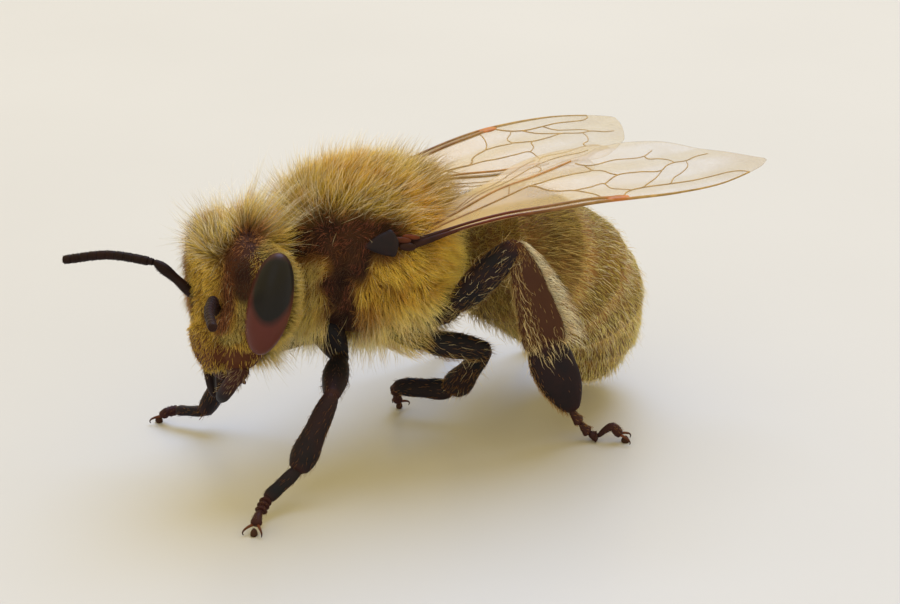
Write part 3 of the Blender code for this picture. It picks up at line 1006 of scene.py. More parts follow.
# ---------------------------------------------------------------- head
@dataclass
class Head:
    """The head capsule with its face plates, its simple eyes and its coat."""

    finishes: Finishes
    width: float = 3.5
    top: float = 5.86
    bottom: float = 2.62
    front: float = -3.5
    back: float = -2.02
    sides: int = 96
    rings: int = 64
    PROFILE = (  # height share, half width share, half depth share, shift back
        (0.0, 0.26, 0.36, -0.3), (0.05, 0.46, 0.58, -0.24), (0.16, 0.66, 0.84, -0.14),
        (0.36, 0.87, 1.0, -0.02), (0.58, 0.98, 1.0, 0.0), (0.78, 0.93, 0.94, 0.06),
        (0.92, 0.68, 0.7, 0.12), (0.985, 0.38, 0.4, 0.15), (1.0, 0.2, 0.2, 0.16),
    )
    ORBIT = (  # the paths of the markings beside one eye
        (0.95, -2.6, 5.8), (1.25, -2.42, 5.62), (1.55, -2.18, 5.2), (1.7, -2.05, 4.6), (1.6, -2.1, 4.0),
        (1.3, -2.3, 3.5),
    )
    STRIP = ((1.45, -3.2, 4.7), (1.4, -3.22, 4.1), (1.2, -3.3, 3.8), (0.8, -3.43, 3.65))
    BLUSH = ((0.8, -3.1, 5.55), (1.0, -3.3, 5.0), (1.05, -3.4, 4.5), (0.9, -3.42, 4.1), (0.72, -3.5, 3.85))
    # the path of the near-black patch in front of each eye, with shorter and sparser hair; the skin is not
    # sunk there
    PIT = (
        (0.6, -2.55, 5.86), (0.82, -2.8, 5.78), (1.0, -3.08, 5.56), (1.24, -3.14, 5.33), (1.42, -3.17, 4.95),
    )
    OCELLI = ((0.0, -3.2, 5.68), (0.34, -2.92, 5.88), (-0.34, -2.92, 5.88))
    SOCKET = (0.42, 4.12)  # x and z of a feeler's socket

    def profile(self) -> list[Array]:
        """The rings of the bare capsule from the mouth up to the crown.

        Returns:
            The rings, with one point a row in each.
        """
        turn = np.linspace(0.0, np.pi, self.rings)
        shares = (1 - np.cos(turn)) / 2 * 0.6 + np.linspace(0.0, 1.0, self.rings) * 0.4
        middle, depth = (self.front + self.back) / 2, (self.back - self.front) / 2
        tall = self.top - self.bottom
        rings = []
        for t, (wide, deep, shift) in zip(shares, curve(self.PROFILE, shares)):
            centre = np.array([0.0, middle + shift, self.bottom + tall * t])
            halves = self.width / 2 * wide, depth * deep
            rings.append(ring_points(centre, LEFTWARD, BACKWARD, *halves, self.sides, 2.35))
        return rings

    def sculpted(self, skin: bpy.types.Object) -> None:
        """Raises the face plates and sinks the sockets and sutures of the bare capsule.

        Args:
            skin: The capsule.
        """
        points, normals = points_of(skin.data)
        x, y, z = points.T
        face = ramp(y, -2.6, -3.1)
        reach = np.hypot(x / 0.68, (z - 3.22) / 0.56)
        rise = face * (0.17 * ramp(reach, 1.08, 0.8) - 0.05 * groove(reach - 1.08, 0.07))
        rise += face * 0.1 * patch(points, (0.0, -3.5, 4.05), (0.36, 0.5, 0.34), 0.9)
        for side in (1, -1):
            ring = np.hypot(x - side * self.SOCKET[0], z - self.SOCKET[1])
            rise -= face * 0.14 * ramp(ring, 0.17, 0.1)
            rise += face * 0.05 * groove(ring - 0.2, 0.04)
            rise += 0.05 * patch(points, (side * 0.8, -3.3, 5.3), (0.5, 0.5, 0.5), 1.0)
        rise -= face * 0.05 * groove(x, 0.05) * ramp(z, 4.35, 4.6) * ramp(z, 5.6, 5.2)
        rise += 0.06 * patch(points, (0.0, -3.0, 5.75), (0.5, 0.5, 0.4), 1.0)
        cheek = ramp(np.abs(x), 0.85, 1.4) * ramp(y, -2.75, -2.25) * ramp(z, 3.2, 3.9) * ramp(z, 5.9, 5.4)
        moved(skin, normals * rise[:, None] + columns(0.08 * np.sign(x) * cheek, 0.3 * cheek, 0.0))

    def regions(self, points: Array) -> SimpleNamespace:
        """Soft masks for the parts of the head, from 0 to 1.

        Args:
            points: Points on the capsule.

        Returns:
            The masks by name.
        """
        x, y, z = points.T
        wide, both = np.abs(x), mirrored(points)
        shield = np.hypot(x / 0.66, (z - 3.15) / 0.56)
        eye = np.hypot((wide - 1.75) / 0.7, np.hypot((y + 2.7) / 0.68, (z - 4.58) / 1.32))
        return SimpleNamespace(
            crown=ramp(z, 5.0, 5.6) * ramp(x, 0.86, 0.5),
            face=ramp(y, -2.75, -3.2),
            rear=ramp(y, -2.75, -2.35),
            low=ramp(z, 3.75, 3.0),
            eye=ramp(eye, 0.8, 0.66),
            rim=near(both, self.ORBIT, 0.3, 0.5) * ramp(y, -2.85, -2.55),
            # the near-black patch in front of each eye, not a hollow
            pit=near(both, self.PIT, 0.28, 0.7),
            strip=near(both, self.STRIP, 0.15, 0.6),
            blush=near(both, self.BLUSH, 0.22, 1.0),
            far=ramp(-x, 0.4, 0.9) * ramp(y, -2.7, -3.0) * ramp(z, 3.5, 4.1),
            beard=ramp(y, -2.7, -2.4) * ramp(z, 3.9, 3.4),
            socket=ramp(np.hypot(wide - self.SOCKET[0], z - self.SOCKET[1]), 0.3, 0.18),
            shield=ramp(shield, 1.05, 0.75) * ramp(y, -2.6, -3.1),
            malar=ramp(z, 3.6, 3.42) * ramp(wide, 0.5, 0.68) * ramp(y, -2.35, -2.6),
        )

    def pelt(self, points: Array, normals: Array) -> Pelt:
        """The coat of the head: long on the crown, short on the face, thin beside the eyes.

        Args:
            points: Points on the capsule.
            normals: The way out of it there.

        Returns:
            How the hair grows at each point.
        """
        on = self.regions(points)
        crown, blush, strip, rim = on.crown, on.blush, on.strip, on.rim
        side = np.sign(points[:, 0]) * ramp(np.abs(points[:, 0]), 0.0, 0.8)
        lie = columns(0.35 * side, -0.3 + 0.9 * on.rear, -1.0 + 1.6 * crown)
        lie = unit(lie - normals * np.sum(lie * normals, axis=1)[:, None] * 0.6)
        lie = unit(lie + 0.35 * wandering(points, 0.16, 5))
        lie = layered(lie, (columns(0.5 * side, 0.85, -0.1), rim), (columns(0.1 * side, 0.5, -1.0), on.beard))
        length = 0.2 + 0.48 * crown + 0.14 * on.rear - 0.06 * on.low + 0.1 * on.far * (1 - crown)
        length = (length * (1 - 0.35 * on.shield) + 0.3 * on.beard) * (1 - 0.4 * np.maximum(on.pit, strip))
        length += 0.26 * crown * on.rear + (0.2 - length) * rim
        density = (1 - on.eye) * (1 - 0.35 * on.pit) * (1 - on.socket) * (1 - 0.5 * on.shield)
        density *= (1 - 0.93 * on.malar) * (1 + 0.6 * strip + 0.5 * rim + 0.4 * on.far) * (1 - 0.3 * blush)
        flat = 0.42 - 0.3 * crown + 0.15 * on.low + 0.15 * strip - 0.25 * on.far - 0.1 * rim + 0.2 * blush
        # painted light: towards the crown the dark patch's hair is brightened, making up for the shade
        # between the longer hairs around it
        high = ramp(points[:, 2], 5.5, 5.72)[:, None]
        root = layered(
            (0.52, 0.34, 0.05), ((0.46, 0.33, 0.08), crown), ((0.13, 0.032, 0.018), 0.9 * blush),
            ((0.42, 0.32, 0.1), held(0.8 * strip + rim)), ((0.56, 0.45, 0.15), 0.9 * on.beard),
            ((0.02, 0.007, 0.007) + high * (0.3, 0.11, 0.04), 0.97 * on.pit),
        )
        tip = layered(
            (0.98, 0.7, 0.14), ((0.94, 0.74, 0.2), held(crown + 0.7 * on.far)),
            ((0.44, 0.13, 0.08), 0.85 * blush), ((0.74, 0.6, 0.2), strip), ((0.9, 0.78, 0.34), on.beard),
            ((0.66, 0.52, 0.17), rim), ((0.45, 0.3, 0.1), 0.4 * on.low * on.face * (1 - strip)),
            ((0.045, 0.016, 0.014) + high * (0.6, 0.3, 0.1), 0.95 * on.pit),
        )
        return Pelt(lie, np.clip(flat, 0.05, 0.9), length, density, root, tip)

    def guard(self, pelt: Pelt, points: Array) -> Pelt:
        """The long fine hairs, thick on the crown and thin over the face and below.

        Args:
            pelt: The coat below them.
            points: Points on the capsule.

        Returns:
            How the hair grows at each point.
        """
        on = self.regions(points)
        bare = (1 - on.eye) * (1 - on.pit) * (1 - on.socket) * (1 - 0.8 * on.shield) * (1 - on.malar)
        density = (0.2 + 2.5 * on.crown + 0.3 * on.rear + 0.9 * on.far + 1.2 * on.beard) * bare
        length = 0.3 + 0.76 * on.crown + 0.2 * on.rear + 0.16 * on.far + 0.45 * on.beard
        length = length - 0.15 * on.rim + 0.55 * on.crown * on.rear
        root = mixed(pelt.root, (0.7, 0.62, 0.42), 0.6)
        tip = mixed((0.8, 0.72, 0.46), (1.0, 0.95, 0.8), on.crown)
        return Pelt(pelt.lie, pelt.flat * 0.4, length, density * (1 - 0.7 * on.rim), root, tip)

    def marking(self, points: Array) -> Array:
        """The shell under the coat, black above, red brown beside the eyes and below."""
        on = self.regions(points)
        return layered(
            (0.06, 0.02, 0.012), ((0.16, 0.09, 0.02), on.face * (1 - on.low)),
            ((0.03, 0.012, 0.01), held(on.pit + on.socket)),
            ((0.075, 0.024, 0.014), np.maximum(on.shield, on.malar)), ((0.06, 0.02, 0.011), on.blush),
            ((0.12, 0.09, 0.03), np.maximum(on.strip, on.rim) * (1 - on.pit)),
        )

    def ocelli(self) -> None:
        """The three simple eyes on the crown."""
        shape = Shape()
        turn = np.linspace(0.0, np.pi / 2, 7)
        heights, reaches = np.concatenate([[-0.12], np.sin(turn)]), np.concatenate([[0.9], np.cos(turn)])
        for x, y, z in self.OCELLI:
            out = unit(np.array([x * 0.8, -0.5, 1.0]))
            across = unit(np.cross(out, np.array([0.0, 1.0, 0.1])))
            up = np.cross(out, across)
            rings = []
            for height, reach in zip(heights, reaches):
                centre, half = np.array([x, y, z]) + out * 0.1 * height, 0.13 * reach + 0.002
                rings.append(ring_points(centre, across, up, half, half, 20))
            shape.loft(rings, dusk=0.0)
        shape.made("ocelli", self.finishes.eye, Slot.EYE)

    def build(self) -> None:
        """Makes the head."""
        shape = Shape()
        shape.loft(self.profile())
        skin = shape.made("head_capsule", self.finishes.skin, Slot.OLIVE_COAT, "head")
        self.sculpted(skin)
        points, normals = points_of(skin.data)
        keep(skin.data, "marking", tinted(self.marking(points)))
        pelt = self.pelt(points, normals)
        coat = Coat(per_mm2=640, rings=3, width=0.0058, pull=0.35, frizz=0.06, scatter=0.34)
        whole = pelt.density
        for number, side in enumerate(Side):
            pelt.density = whole * ramp(side.value * points[:, 0], -0.05, 0.05)
            coat.seed = SEEDS["head"] + number
            coat.grow("head_coat_" + side.word, skin, pelt, self.finishes.fur, Slot.OLIVE_COAT)
        coat = Coat(per_mm2=110, width=0.0042, pull=0.1, frizz=0.16, scatter=0.45, seed=SEEDS["head_guard"])
        coat.grow("head_guard_hair", skin, self.guard(pelt, points), self.finishes.fur, Slot.OLIVE_COAT)
        self.ocelli()


@dataclass
class CompoundEye:
    """One large eye of thousands of small domed lenses."""

    finishes: Finishes
    side: Side
    centre: tuple[float, float, float] = (1.6, -2.66, 4.58)
    radii: tuple[float, float, float] = (0.48, 0.5, 1.19)
    tilt: float = -13.0  # degrees about X
    lean: float = 4.0  # degrees about Y
    dome: float = 0.0035  # how far each lens rises
    splits: int = 6  # how often the ball's faces are split

    @staticmethod
    def tree() -> bpy.types.NodeTree:
        """The tree that makes the six-sided cells of a ball, the lenses before they are domed."""
        found = bpy.data.node_groups.get("eye_cells")
        if found:
            return found
        nodes = Growth("eye_cells", (("Splits", "Int"), ("Finish", "Material")))
        inputs = {"Radius": 1.0, "Subdivisions": nodes.given["Splits"]}
        ball = nodes.add("GeometryNodeMeshIcoSphere", inputs).outputs[0]
        return nodes.ended(nodes.add("GeometryNodeDualMesh", {"Mesh": ball}).outputs[0])

    def build(self) -> None:
        """Makes the eye."""
        name = "compound_eye_" + self.side.word
        mesh = run(self.tree(), bpy.data.meshes.new(name), (self.splits, self.finishes.eye), name)
        cells = bmesh.new()
        cells.from_mesh(mesh)
        outer = [face for face in cells.faces if face.calc_center_median().x * self.side.value > -0.35]
        bmesh.ops.poke(cells, faces=outer, offset=0.0)
        cells.to_mesh(mesh)
        cells.free()
        mesh.vertices.foreach_set("co", self.shaped(mesh).astype(np.float32).ravel())
        mesh.shade_smooth()
        placed(bpy.data.objects.new(name, mesh), Slot.EYE, "eye_" + self.side.word)

    def shaped(self, mesh: bpy.types.Mesh) -> Array:
        """The ball's points drawn out to the eye, with a dome on each lens, in metres.

        Args:
            mesh: The ball of cells.

        Returns:
            The eye's points, one a row.
        """
        ball = unit(gathered(mesh.vertices, "co", 3).astype(float))
        out, front, high = ball.T
        turn = 0.87 * front + 0.49 * out * self.side.value
        keep(mesh, "dusk", np.hypot((turn - 0.06) / 0.9, (high - 0.38) / 0.63))
        edges = np.zeros(len(ball))
        np.add.at(edges, gathered(mesh.edges, "vertices", 2, np.int32), 1)
        ball = ball * np.array(self.radii)
        outward = unit(ball / np.array(self.radii) ** 2)
        ball += outward * np.where(edges >= 5, self.dome, -self.dome)[:, None]
        a, b = np.radians(self.tilt), np.radians(self.lean * self.side.value)
        about_x = np.array([[1, 0, 0], [0, np.cos(a), -np.sin(a)], [0, np.sin(a), np.cos(a)]])
        about_y = np.array([[np.cos(b), 0, np.sin(b)], [0, 1, 0], [-np.sin(b), 0, np.cos(b)]])
        centre = np.array(self.centre) * (self.side.value, 1, 1)
        return (ball @ (about_x @ about_y).T + centre) * MM + ORIGIN


@dataclass
class Antenna:
    """One feeler: scape, pedicel and a flagellum of ten short lengths."""

    finishes: Finishes
    side: Side
    lengths: int = 10
    half: float = 0.105
    PATHS = {  # socket, elbow, a point on the way and tip
        Side.LEFT: ((0.45, -3.4, 4.05), (1.4, -3.93, 4.85), (2.32, -4.41, 4.96), (3.31, -4.77, 5.02)),
        Side.RIGHT: ((-0.45, -3.4, 4.05), (-1.05, -4.2, 5.0), (-1.86, -4.98, 5.06), (-2.6, -5.8, 4.86)),
    }
    SCAPE = (  # share, share of half
        (0.0, 0.55), (0.04, 1.0), (0.08, 1.05), (0.12, 0.62), (0.2, 0.95), (0.55, 1.0), (0.9, 1.08),
        (1.0, 0.7),
    )
    LOCAL = np.array([0.0, 0.04, 0.12, 0.5, 0.88, 0.96, 1.0])
    SWELL = np.array([0.82, 0.93, 0.98, 1.0, 1.01, 0.97, 0.84])
    LAST_SWELL = np.array([0.7, 0.88, 0.97, 1.0, 0.9, 0.68, 0.3])

    def build(self) -> None:
        """Makes the feeler."""
        socket, elbow, middle, tip = (np.array(point) for point in self.PATHS[self.side])
        shape = Shape()
        shares = np.linspace(0.0, 1.0, 26)
        bow = UP * (np.sin(np.pi * shares) * 0.06)[:, None]
        radii = curve(self.SCAPE, shares)[:, 0] * self.half
        tones = self.tones(0.25 + 0.2 * shares)
        shape.tube(mixed(socket, elbow, shares) + bow, radii, LEFTWARD, 18, marking=tones)
        path = curve([(0.0, *elbow), (0.5, *middle), (1.0, *tip)], np.linspace(0.02, 1.0, 200))
        way = np.concatenate([[0.0], np.cumsum(np.linalg.norm(np.diff(path, axis=0), axis=1))])
        stops = np.concatenate([[0.0, 0.055], np.linspace(0.12, 1.0, self.lengths)]) * way[-1]
        for number, (low, high) in enumerate(zip(stops, stops[1:])):
            swell = self.LAST_SWELL if number == len(stops) - 2 else self.SWELL
            if number == 0:
                swell = swell * 0.78
            at = low + (high - low) * self.LOCAL
            rings = swept(read_line(path, way, at), swell * self.half, swell * self.half, UP, 18)
            shape.loft(rings, marking=self.tones(0.3 + 0.5 * at / way[-1]))
        word = self.side.word
        nodes = "antenna_scape_" + word, "antenna_flagellum_" + word
        piece = shape.made("antenna_" + word, self.finishes.leg, Slot.BLACK_SHELL, *nodes)
        pelt = Pelt(unit(tip - elbow), 0.6, 0.05, 1.0, SHELL_BLACK, SHELL_RED)
        coat = Coat(420, 3, 0.0035, pull=0.0, frizz=0.0, scatter=0.2, seed=SEEDS["antenna"])
        coat.grow("antenna_down_" + word, piece, pelt, self.finishes.bristle, Slot.BLACK_SHELL)

    @staticmethod
    def tones(share: Array) -> Array:
        """The shell's colour, dark brown and paler towards the tip."""
        return tinted(mixed((0.008, 0.005, 0.005), (0.018, 0.008, 0.007), share))


@dataclass
class Mouth:
    """The jaws that close below the face, the lip between them and the folded tongue."""

    finishes: Finishes
    JAW = (  # share, half width, half thickness, outward bow
        (0.0, 0.1, 0.1, 0.0), (0.06, 0.2, 0.17, 0.02), (0.2, 0.22, 0.18, 0.05), (0.45, 0.18, 0.14, 0.08),
        (0.7, 0.17, 0.11, 0.07), (0.9, 0.13, 0.08, 0.03), (0.98, 0.07, 0.05, -0.01), (1.0, 0.03, 0.02, -0.02),
    )

    def jaw(self, side: Side) -> None:
        """One mandible, thick at its hinge, waisted and spooned at its tip.

        Args:
            side: Its side.
        """
        s, word = side.value, side.word
        base, tip = np.array([s * 0.88, -3.02, 2.95]), np.array([s * 0.14, -3.3, 1.86])
        shares = np.linspace(0.0, 1.0, 30)
        wide, thick, bow = curve(self.JAW, shares).T
        path = mixed(base, tip, shares) + bow[:, None] * np.array([s * 0.8, -0.5, 0.0])
        shape = Shape()
        tone = tinted(mixed(SHELL_RED, SHELL_BLACK, ramp(shares, 0.3, 0.9)))
        shape.loft(swept(path, wide, thick, np.array([s, -0.8, 0.1]), 24, 2.4), marking=tone)
        piece = shape.made("jaw_" + word, self.finishes.leg, Slot.BROWN_SHELL, "mandible_" + word)
        z = points_of(piece.data)[0][:, 2]
        density = ramp(z, 2.1, 2.4) + 3 * ramp(z, 2.62, 2.75)
        pelt = Pelt(unit(tip - base), 0.5, 0.16, density, BROWN, BUFF)
        coat = Coat(per_mm2=70, width=0.006, pull=0.0, frizz=0.02, scatter=0.25, seed=SEEDS["jaw"] + s)
        coat.grow("jaw_hair_" + word, piece, pelt, self.finishes.bristle, Slot.BROWN_SHELL)

    def lip(self) -> None:
        """The small upper lip below the shield of the face."""
        shape = Shape()
        shares = np.linspace(0.0, 1.0, 14)
        path = mixed(np.array([0.0, -3.2, 2.8]), np.array([0.0, -3.28, 2.42]), shares)
        end = self.rounded(shares, 6, 0.05)
        shape.loft(swept(path, 0.42 * end, 0.1 * end, -BACKWARD, 28, 3.0), marking=tinted(SHELL_RED))
        shape.made("upper_lip", self.finishes.leg, Slot.BROWN_SHELL)

    def tongue(self) -> None:
        """The tongue and its sheaths, folded back below the head."""
        shape = Shape()
        shares = np.linspace(0.0, 1.0, 16)
        end = (1 - 0.45 * shares) * self.rounded(shares, 8, 0.0) + 0.04
        bow = np.sin(np.pi * shares)[:, None] * np.array([0.0, -0.12, 0.0])
        tone = tinted(mixed(SHELL_BLACK, RED_BROWN, shares))
        for x, half in ((0.0, 0.13), (0.15, 0.1), (-0.15, 0.1)):
            path = mixed(np.array([x, -2.65, 2.75]), np.array([x * 0.5, -2.6, 2.1]), shares) + bow
            shape.loft(swept(path, half * end, 0.8 * half * end, -BACKWARD, 16), marking=tone)
        shape.made("tongue_sheaths", self.finishes.leg, Slot.BROWN_SHELL, "tongue")

    @staticmethod
    def rounded(shares: Array, power: int, least: float) -> Array:
        """Shares of the full size along a length with blunt ends."""
        return np.sqrt(np.clip(1 - (2 * shares - 1) ** power, 0.0, 1.0)) + least

    def build(self) -> None:
        """Makes the mouth."""
        for side in Side:
            self.jaw(side)
        self.lip()
        self.tongue()


# ---------------------------------------------------------------- trunk
@dataclass
class Trunk:
    """Neck, thorax and waist as one skin, with the deep coat of the thorax."""

    finishes: Finishes
    sides: int = 112
    rings: int = 110
    PROFILE = (  # y, mid height, half width, half height
        (-2.3, 4.7, 0.34, 0.38), (-1.75, 4.58, 0.42, 0.6), (-1.45, 4.66, 0.66, 0.92),
        (-1.2, 4.76, 1.02, 1.32), (-0.85, 4.84, 1.36, 1.56), (-0.2, 4.82, 1.68, 1.83),
        (0.6, 4.78, 1.76, 1.91), (1.35, 4.73, 1.62, 1.84), (1.85, 4.66, 1.3, 1.56),
        (2.15, 4.54, 0.92, 1.16), (2.36, 4.42, 0.48, 0.6), (2.56, 4.34, 0.26, 0.28),
        (2.8, 4.22, 0.22, 0.22), (3.2, 4.08, 0.3, 0.3),
    )
    SHOULDER = ((0.3, -1.4, 5.35), (0.95, -0.98, 5.58), (1.3, -0.45, 5.66), (1.65, 0.2, 5.56))
    STRAP = ((1.35, -0.72, 5.3), (1.38, -0.78, 4.6), (1.3, -0.68, 4.1), (1.12, -0.46, 3.4))
    BRANCH = ((1.55, -0.25, 5.3), (1.5, -0.5, 4.95))  # the strap's own, towards the wing
    WING_ROOT = (1.45, 0.3, 5.7)  # where the hair of the side fans out from

    def skin(self) -> bpy.types.Object:
        """The skin, from inside the head to inside the abdomen.

        Returns:
            The bare skin, with its finish.
        """
        places = np.linspace(self.PROFILE[0][0], self.PROFILE[-1][0], self.rings)
        shape = Shape()
        shape.loft([
            ring_points(np.array([0.0, y, height]), LEFTWARD, UP, wide, tall, self.sides, 2.12)
            for y, (height, wide, tall) in zip(places, curve(self.PROFILE, places))
        ])
        nodes = "neck", "thorax", "waist"
        return shape.made("trunk_skin", self.finishes.skin, Slot.OLIVE_COAT, *nodes)

    @staticmethod
    def sculpted(skin: bpy.types.Object) -> None:
        """Parts the collar, the back shield, the small shield behind it and the side plates.

        Args:
            skin: The bare skin.
        """
        points, normals = points_of(skin.data)
        x, y, z = points.T
        wide, above = np.abs(x), ramp(z, 4.6, 5.4)
        flank = ramp(wide, 0.9, 1.4) * (1 - above)
        rise = -0.09 * groove(y + 1.12 - 0.25 * wide, 0.08) * above
        rise -= 0.1 * groove(y - (1.5 - 0.18 * x**2), 0.07) * above
        rise += 0.12 * patch(points, (0.0, 1.8, 6.2), (0.8, 0.4, 0.5), 0.8)
        rise -= 0.08 * groove(y - 0.95 - 0.15 * (z - 4.4), 0.08) * flank
        rise -= 0.07 * groove(z - 5.35 - 0.1 * y, 0.07) * ramp(wide, 1.0, 1.5)
        rise -= 0.06 * groove(y + 0.75 + 0.1 * (z - 4.4), 0.07) * flank
        moved(skin, normals * rise[:, None])

    def regions(self, points: Array) -> SimpleNamespace:
        """Soft masks for the parts of the coat, from 0 to 1.

        Args:
            points: Points on the skin.

        Returns:
            The masks by name.
        """
        _, y, z = points.T
        both = mirrored(points) + 0.07 * wandering(points, 0.22, 9)
        strap = np.maximum(near(both, self.STRAP, 0.37, 0.8), near(both, self.BRANCH, 0.3, 0.8))
        return SimpleNamespace(
            top=ramp(z, 5.4, 6.0),
            bottom=ramp(z, 4.3, 3.5),
            front=ramp(y, -0.75, -1.2),
            rear=ramp(y, 1.1, 1.9),
            band=np.maximum(near(both, self.SHOULDER, 0.42, 0.8), strap),
            brow=ramp(y, -0.4, -0.95) * ramp(z, 5.5, 5.95),
            tail=patch(both, (0.45, 1.95, 6.05), (0.9, 0.5, 0.5), 0.8),
            wing=patch(both, (1.25, 1.45, 6.0), (0.75, 0.85, 0.7), 0.9),
            crest=patch(both, (0.35, 0.15, 6.7), (0.7, 0.8, 0.6), 1.0),
            shield=patch(both, (0.0, 2.1, 6.0), (0.9, 0.45, 0.6), 0.6),
            collar=ramp(y, -0.95, -1.15) * ramp(z, 5.4, 5.15),
            beard=ramp(y, -0.85, -1.1) * ramp(z, 4.5, 3.9),
            coxa=patch(both, (0.95, -0.65, 3.45), (0.34, 0.34, 0.45), 0.6),
            neck=ramp(y, -1.35, -1.6),
            waist=ramp(y, 2.35, 2.55),
        )

    def pelt(self, points: Array) -> Pelt:
        """The coat of the thorax: deep and upright above, fanned from the wing's root below it.

        Args:
            points: Points on the skin.

        Returns:
            How the hair grows at each point.
        """
        on = self.regions(points)
        x, _, z = points.T
        side, top, bottom, front, band = np.sign(x), on.top, on.bottom, on.front, on.band
        collar, beard = on.collar * (1 - band), on.beard
        hub = np.array(self.WING_ROOT)
        fan = unit(points - columns(hub[0] * side, hub[1], hub[2])) + np.array([0.0, 0.15, -0.45])
        back = columns(0.1 * side, 0.8 - 1.4 * front, 0.25 + 0.5 * front)
        lie = unit(mixed(fan, back, top) + columns(0.0, 0.7 * on.rear, 0.0))
        lie = lie + wandering(points, 0.15, 6) * (0.55 - 0.25 * top)[:, None]
        lie = mixed(lie, columns(0.25 * side, -0.25, -1.0), np.maximum(collar, beard))
        length = 0.5 + 0.1 * top + 0.12 * bottom - 0.08 * front - 0.3 * band - 0.12 * collar + 0.42 * beard
        length += 0.3 * on.brow * (1 - band) + 0.16 * on.tail + 0.24 * on.rear * (1 - top)
        length = length * (1 - 0.5 * on.neck * (1 - beard)) * (1 - 0.75 * on.waist)
        flat = 0.4 - 0.22 * top - 0.08 * bottom + 0.1 * band + 0.3 * collar * (1 - beard)
        density = (1.0 - 0.55 * band) * (1 - 0.5 * on.neck) * (1 - 0.5 * on.waist) * (1 + 0.3 * beard)
        density *= 1 - 0.95 * on.coxa
        ember = ramp(wandering(points, 0.13, 8)[:, 0] + 1.2 * ramp(z, 5.2, 5.55), -0.1, 0.9)
        edge = 4 * band * (1 - band)
        # painted shade: orange-brown patches that stand in for the shadows between the tufts of the sides,
        # with a darker patch low on each side
        side_tuft_shade = ramp(wandering(points, 0.14, 7)[:, 0], 0.0, 0.7) * (1 - top)
        side_tuft_shade = side_tuft_shade * (1 - 0.6 * bottom) * (1 - collar)
        side_tuft_shade = np.maximum(side_tuft_shade, 1.5 * patch(mirrored(points), (1.5, -0.15, 4.0), (0.35, 0.3, 0.45), 1.0))
        # painted light: the underside's pale root and tip colours are brightened to stand in for light
        # shining through the hair and up from the floor
        root = layered(
            (0.86, 0.56, 0.07), ((0.46, 0.32, 0.05), top), ((0.95, 0.8, 0.24), bottom),
            ((0.1, 0.045, 0.018), 0.5 * on.shield),
            ((0.75, 0.36, 0.03), 0.7 * np.maximum(on.wing, 0.6 * on.crest)),
            ((0.6, 0.46, 0.15), 0.9 * collar), ((0.03, 0.01, 0.008), 0.97 * band),
            ((0.42, 0.27, 0.05), 0.7 * on.tail), ((0.16, 0.04, 0.02), 0.6 * edge),
            ((0.24, 0.08, 0.016), 0.55 * side_tuft_shade),
        )
        tip = layered(
            (1.0, 0.82, 0.17), ((0.84, 0.62, 0.12), top), ((1.0, 0.94, 0.5), 0.95 * bottom),
            ((0.84, 0.7, 0.26), 0.9 * front * (1 - top) * (1 - beard)),
            ((0.97, 0.6, 0.08), 0.75 * np.maximum(on.wing, 0.7 * on.crest)),
            ((0.3, 0.17, 0.06), 0.6 * on.shield),
            (mixed((0.062, 0.02, 0.03), (0.42, 0.1, 0.085), ember), 0.95 * band),
            ((0.6, 0.4, 0.09), 0.75 * on.tail), ((0.5, 0.17, 0.07), 0.6 * edge),
            ((0.66, 0.32, 0.07), 0.55 * side_tuft_shade),
        )
        return Pelt(lie, flat, length, density, root, tip)

    def guard(self, pelt: Pelt, points: Array) -> Pelt:
        """The long pale hairs that stand out of the coat.

        Args:
            pelt: The coat below them.
            points: Points on the skin.

        Returns:
            How the hair grows at each point.
        """
        on = self.regions(points)
        density = (0.5 + 1.3 * on.top + 1.1 * on.bottom + 0.8 * on.beard) * (1 - 0.97 * on.band)
        density *= 1 + 1.2 * on.tail + 0.6 * on.brow
        density *= (1 - on.neck) * (1 - on.waist) * (1 - on.coxa)
        length = 0.62 + 0.36 * on.top + 0.4 * on.bottom + 0.1 * on.beard + 0.25 * on.brow + 0.2 * on.tail
        root = layered(pelt.root, ((0.8, 0.7, 0.44), 0.6), ((0.4, 0.25, 0.06), on.tail))
        high = (0.96, 0.86, 0.62), held(on.top + on.bottom)
        tip = layered((0.8, 0.66, 0.34), high, ((0.42, 0.27, 0.07), on.tail))
        return Pelt(pelt.lie, pelt.flat * 0.55, length, density, root, tip)

    def marking(self, points: Array) -> Array:
        """The skin under the coat, the coat's own colours in the shade."""
        on = self.regions(points)
        dark = held(on.band + on.waist + on.coxa)
        return layered((0.2, 0.1, 0.02), ((0.14, 0.09, 0.025), on.top), ((0.022, 0.01, 0.009), dark))

    def build(self) -> None:
        """Makes the trunk and its coat, in pieces for the back, the two sides and below."""
        skin = self.skin()
        self.sculpted(skin)
        points, normals = points_of(skin.data)
        keep(skin.data, "marking", tinted(self.marking(points)))
        pelt = self.pelt(points)
        up, down = ramp(normals[:, 2], 0.25, 0.45), ramp(normals[:, 2], -0.4, -0.6)
        left = ramp(points[:, 0], -0.05, 0.05)
        whole = pelt.density
        coat = Coat(700, 4, 0.0052, clump=0.2, pull=0.32, frizz=0.16, scatter=0.38, curl=0.3)
        coat.seed = SEEDS["thorax"]
        for word, share, thick in (
            ("back_left", up * left, 1.0),
            ("back_right", up * (1 - left), 0.9),
            ("left", (1 - up - down) * left, 1.0),
            ("right", (1 - up - down) * (1 - left), 0.9),
            ("below", down, 0.7),
        ):
            pelt.density = whole * share * thick
            coat.rings = 4 if word.endswith("left") else 3
            coat.grow("thorax_coat_" + word, skin, pelt, self.finishes.fur, Slot.OLIVE_COAT)
            coat.seed += 1
        coat = Coat(75, 4, 0.0048, clump=0.12, pull=0.1, frizz=0.22, scatter=0.42, curl=0.25)
        coat.seed = SEEDS["thorax_guard"]
        coat.grow("thorax_guard_hair", skin, self.guard(pelt, points), self.finishes.fur, Slot.OLIVE_COAT)


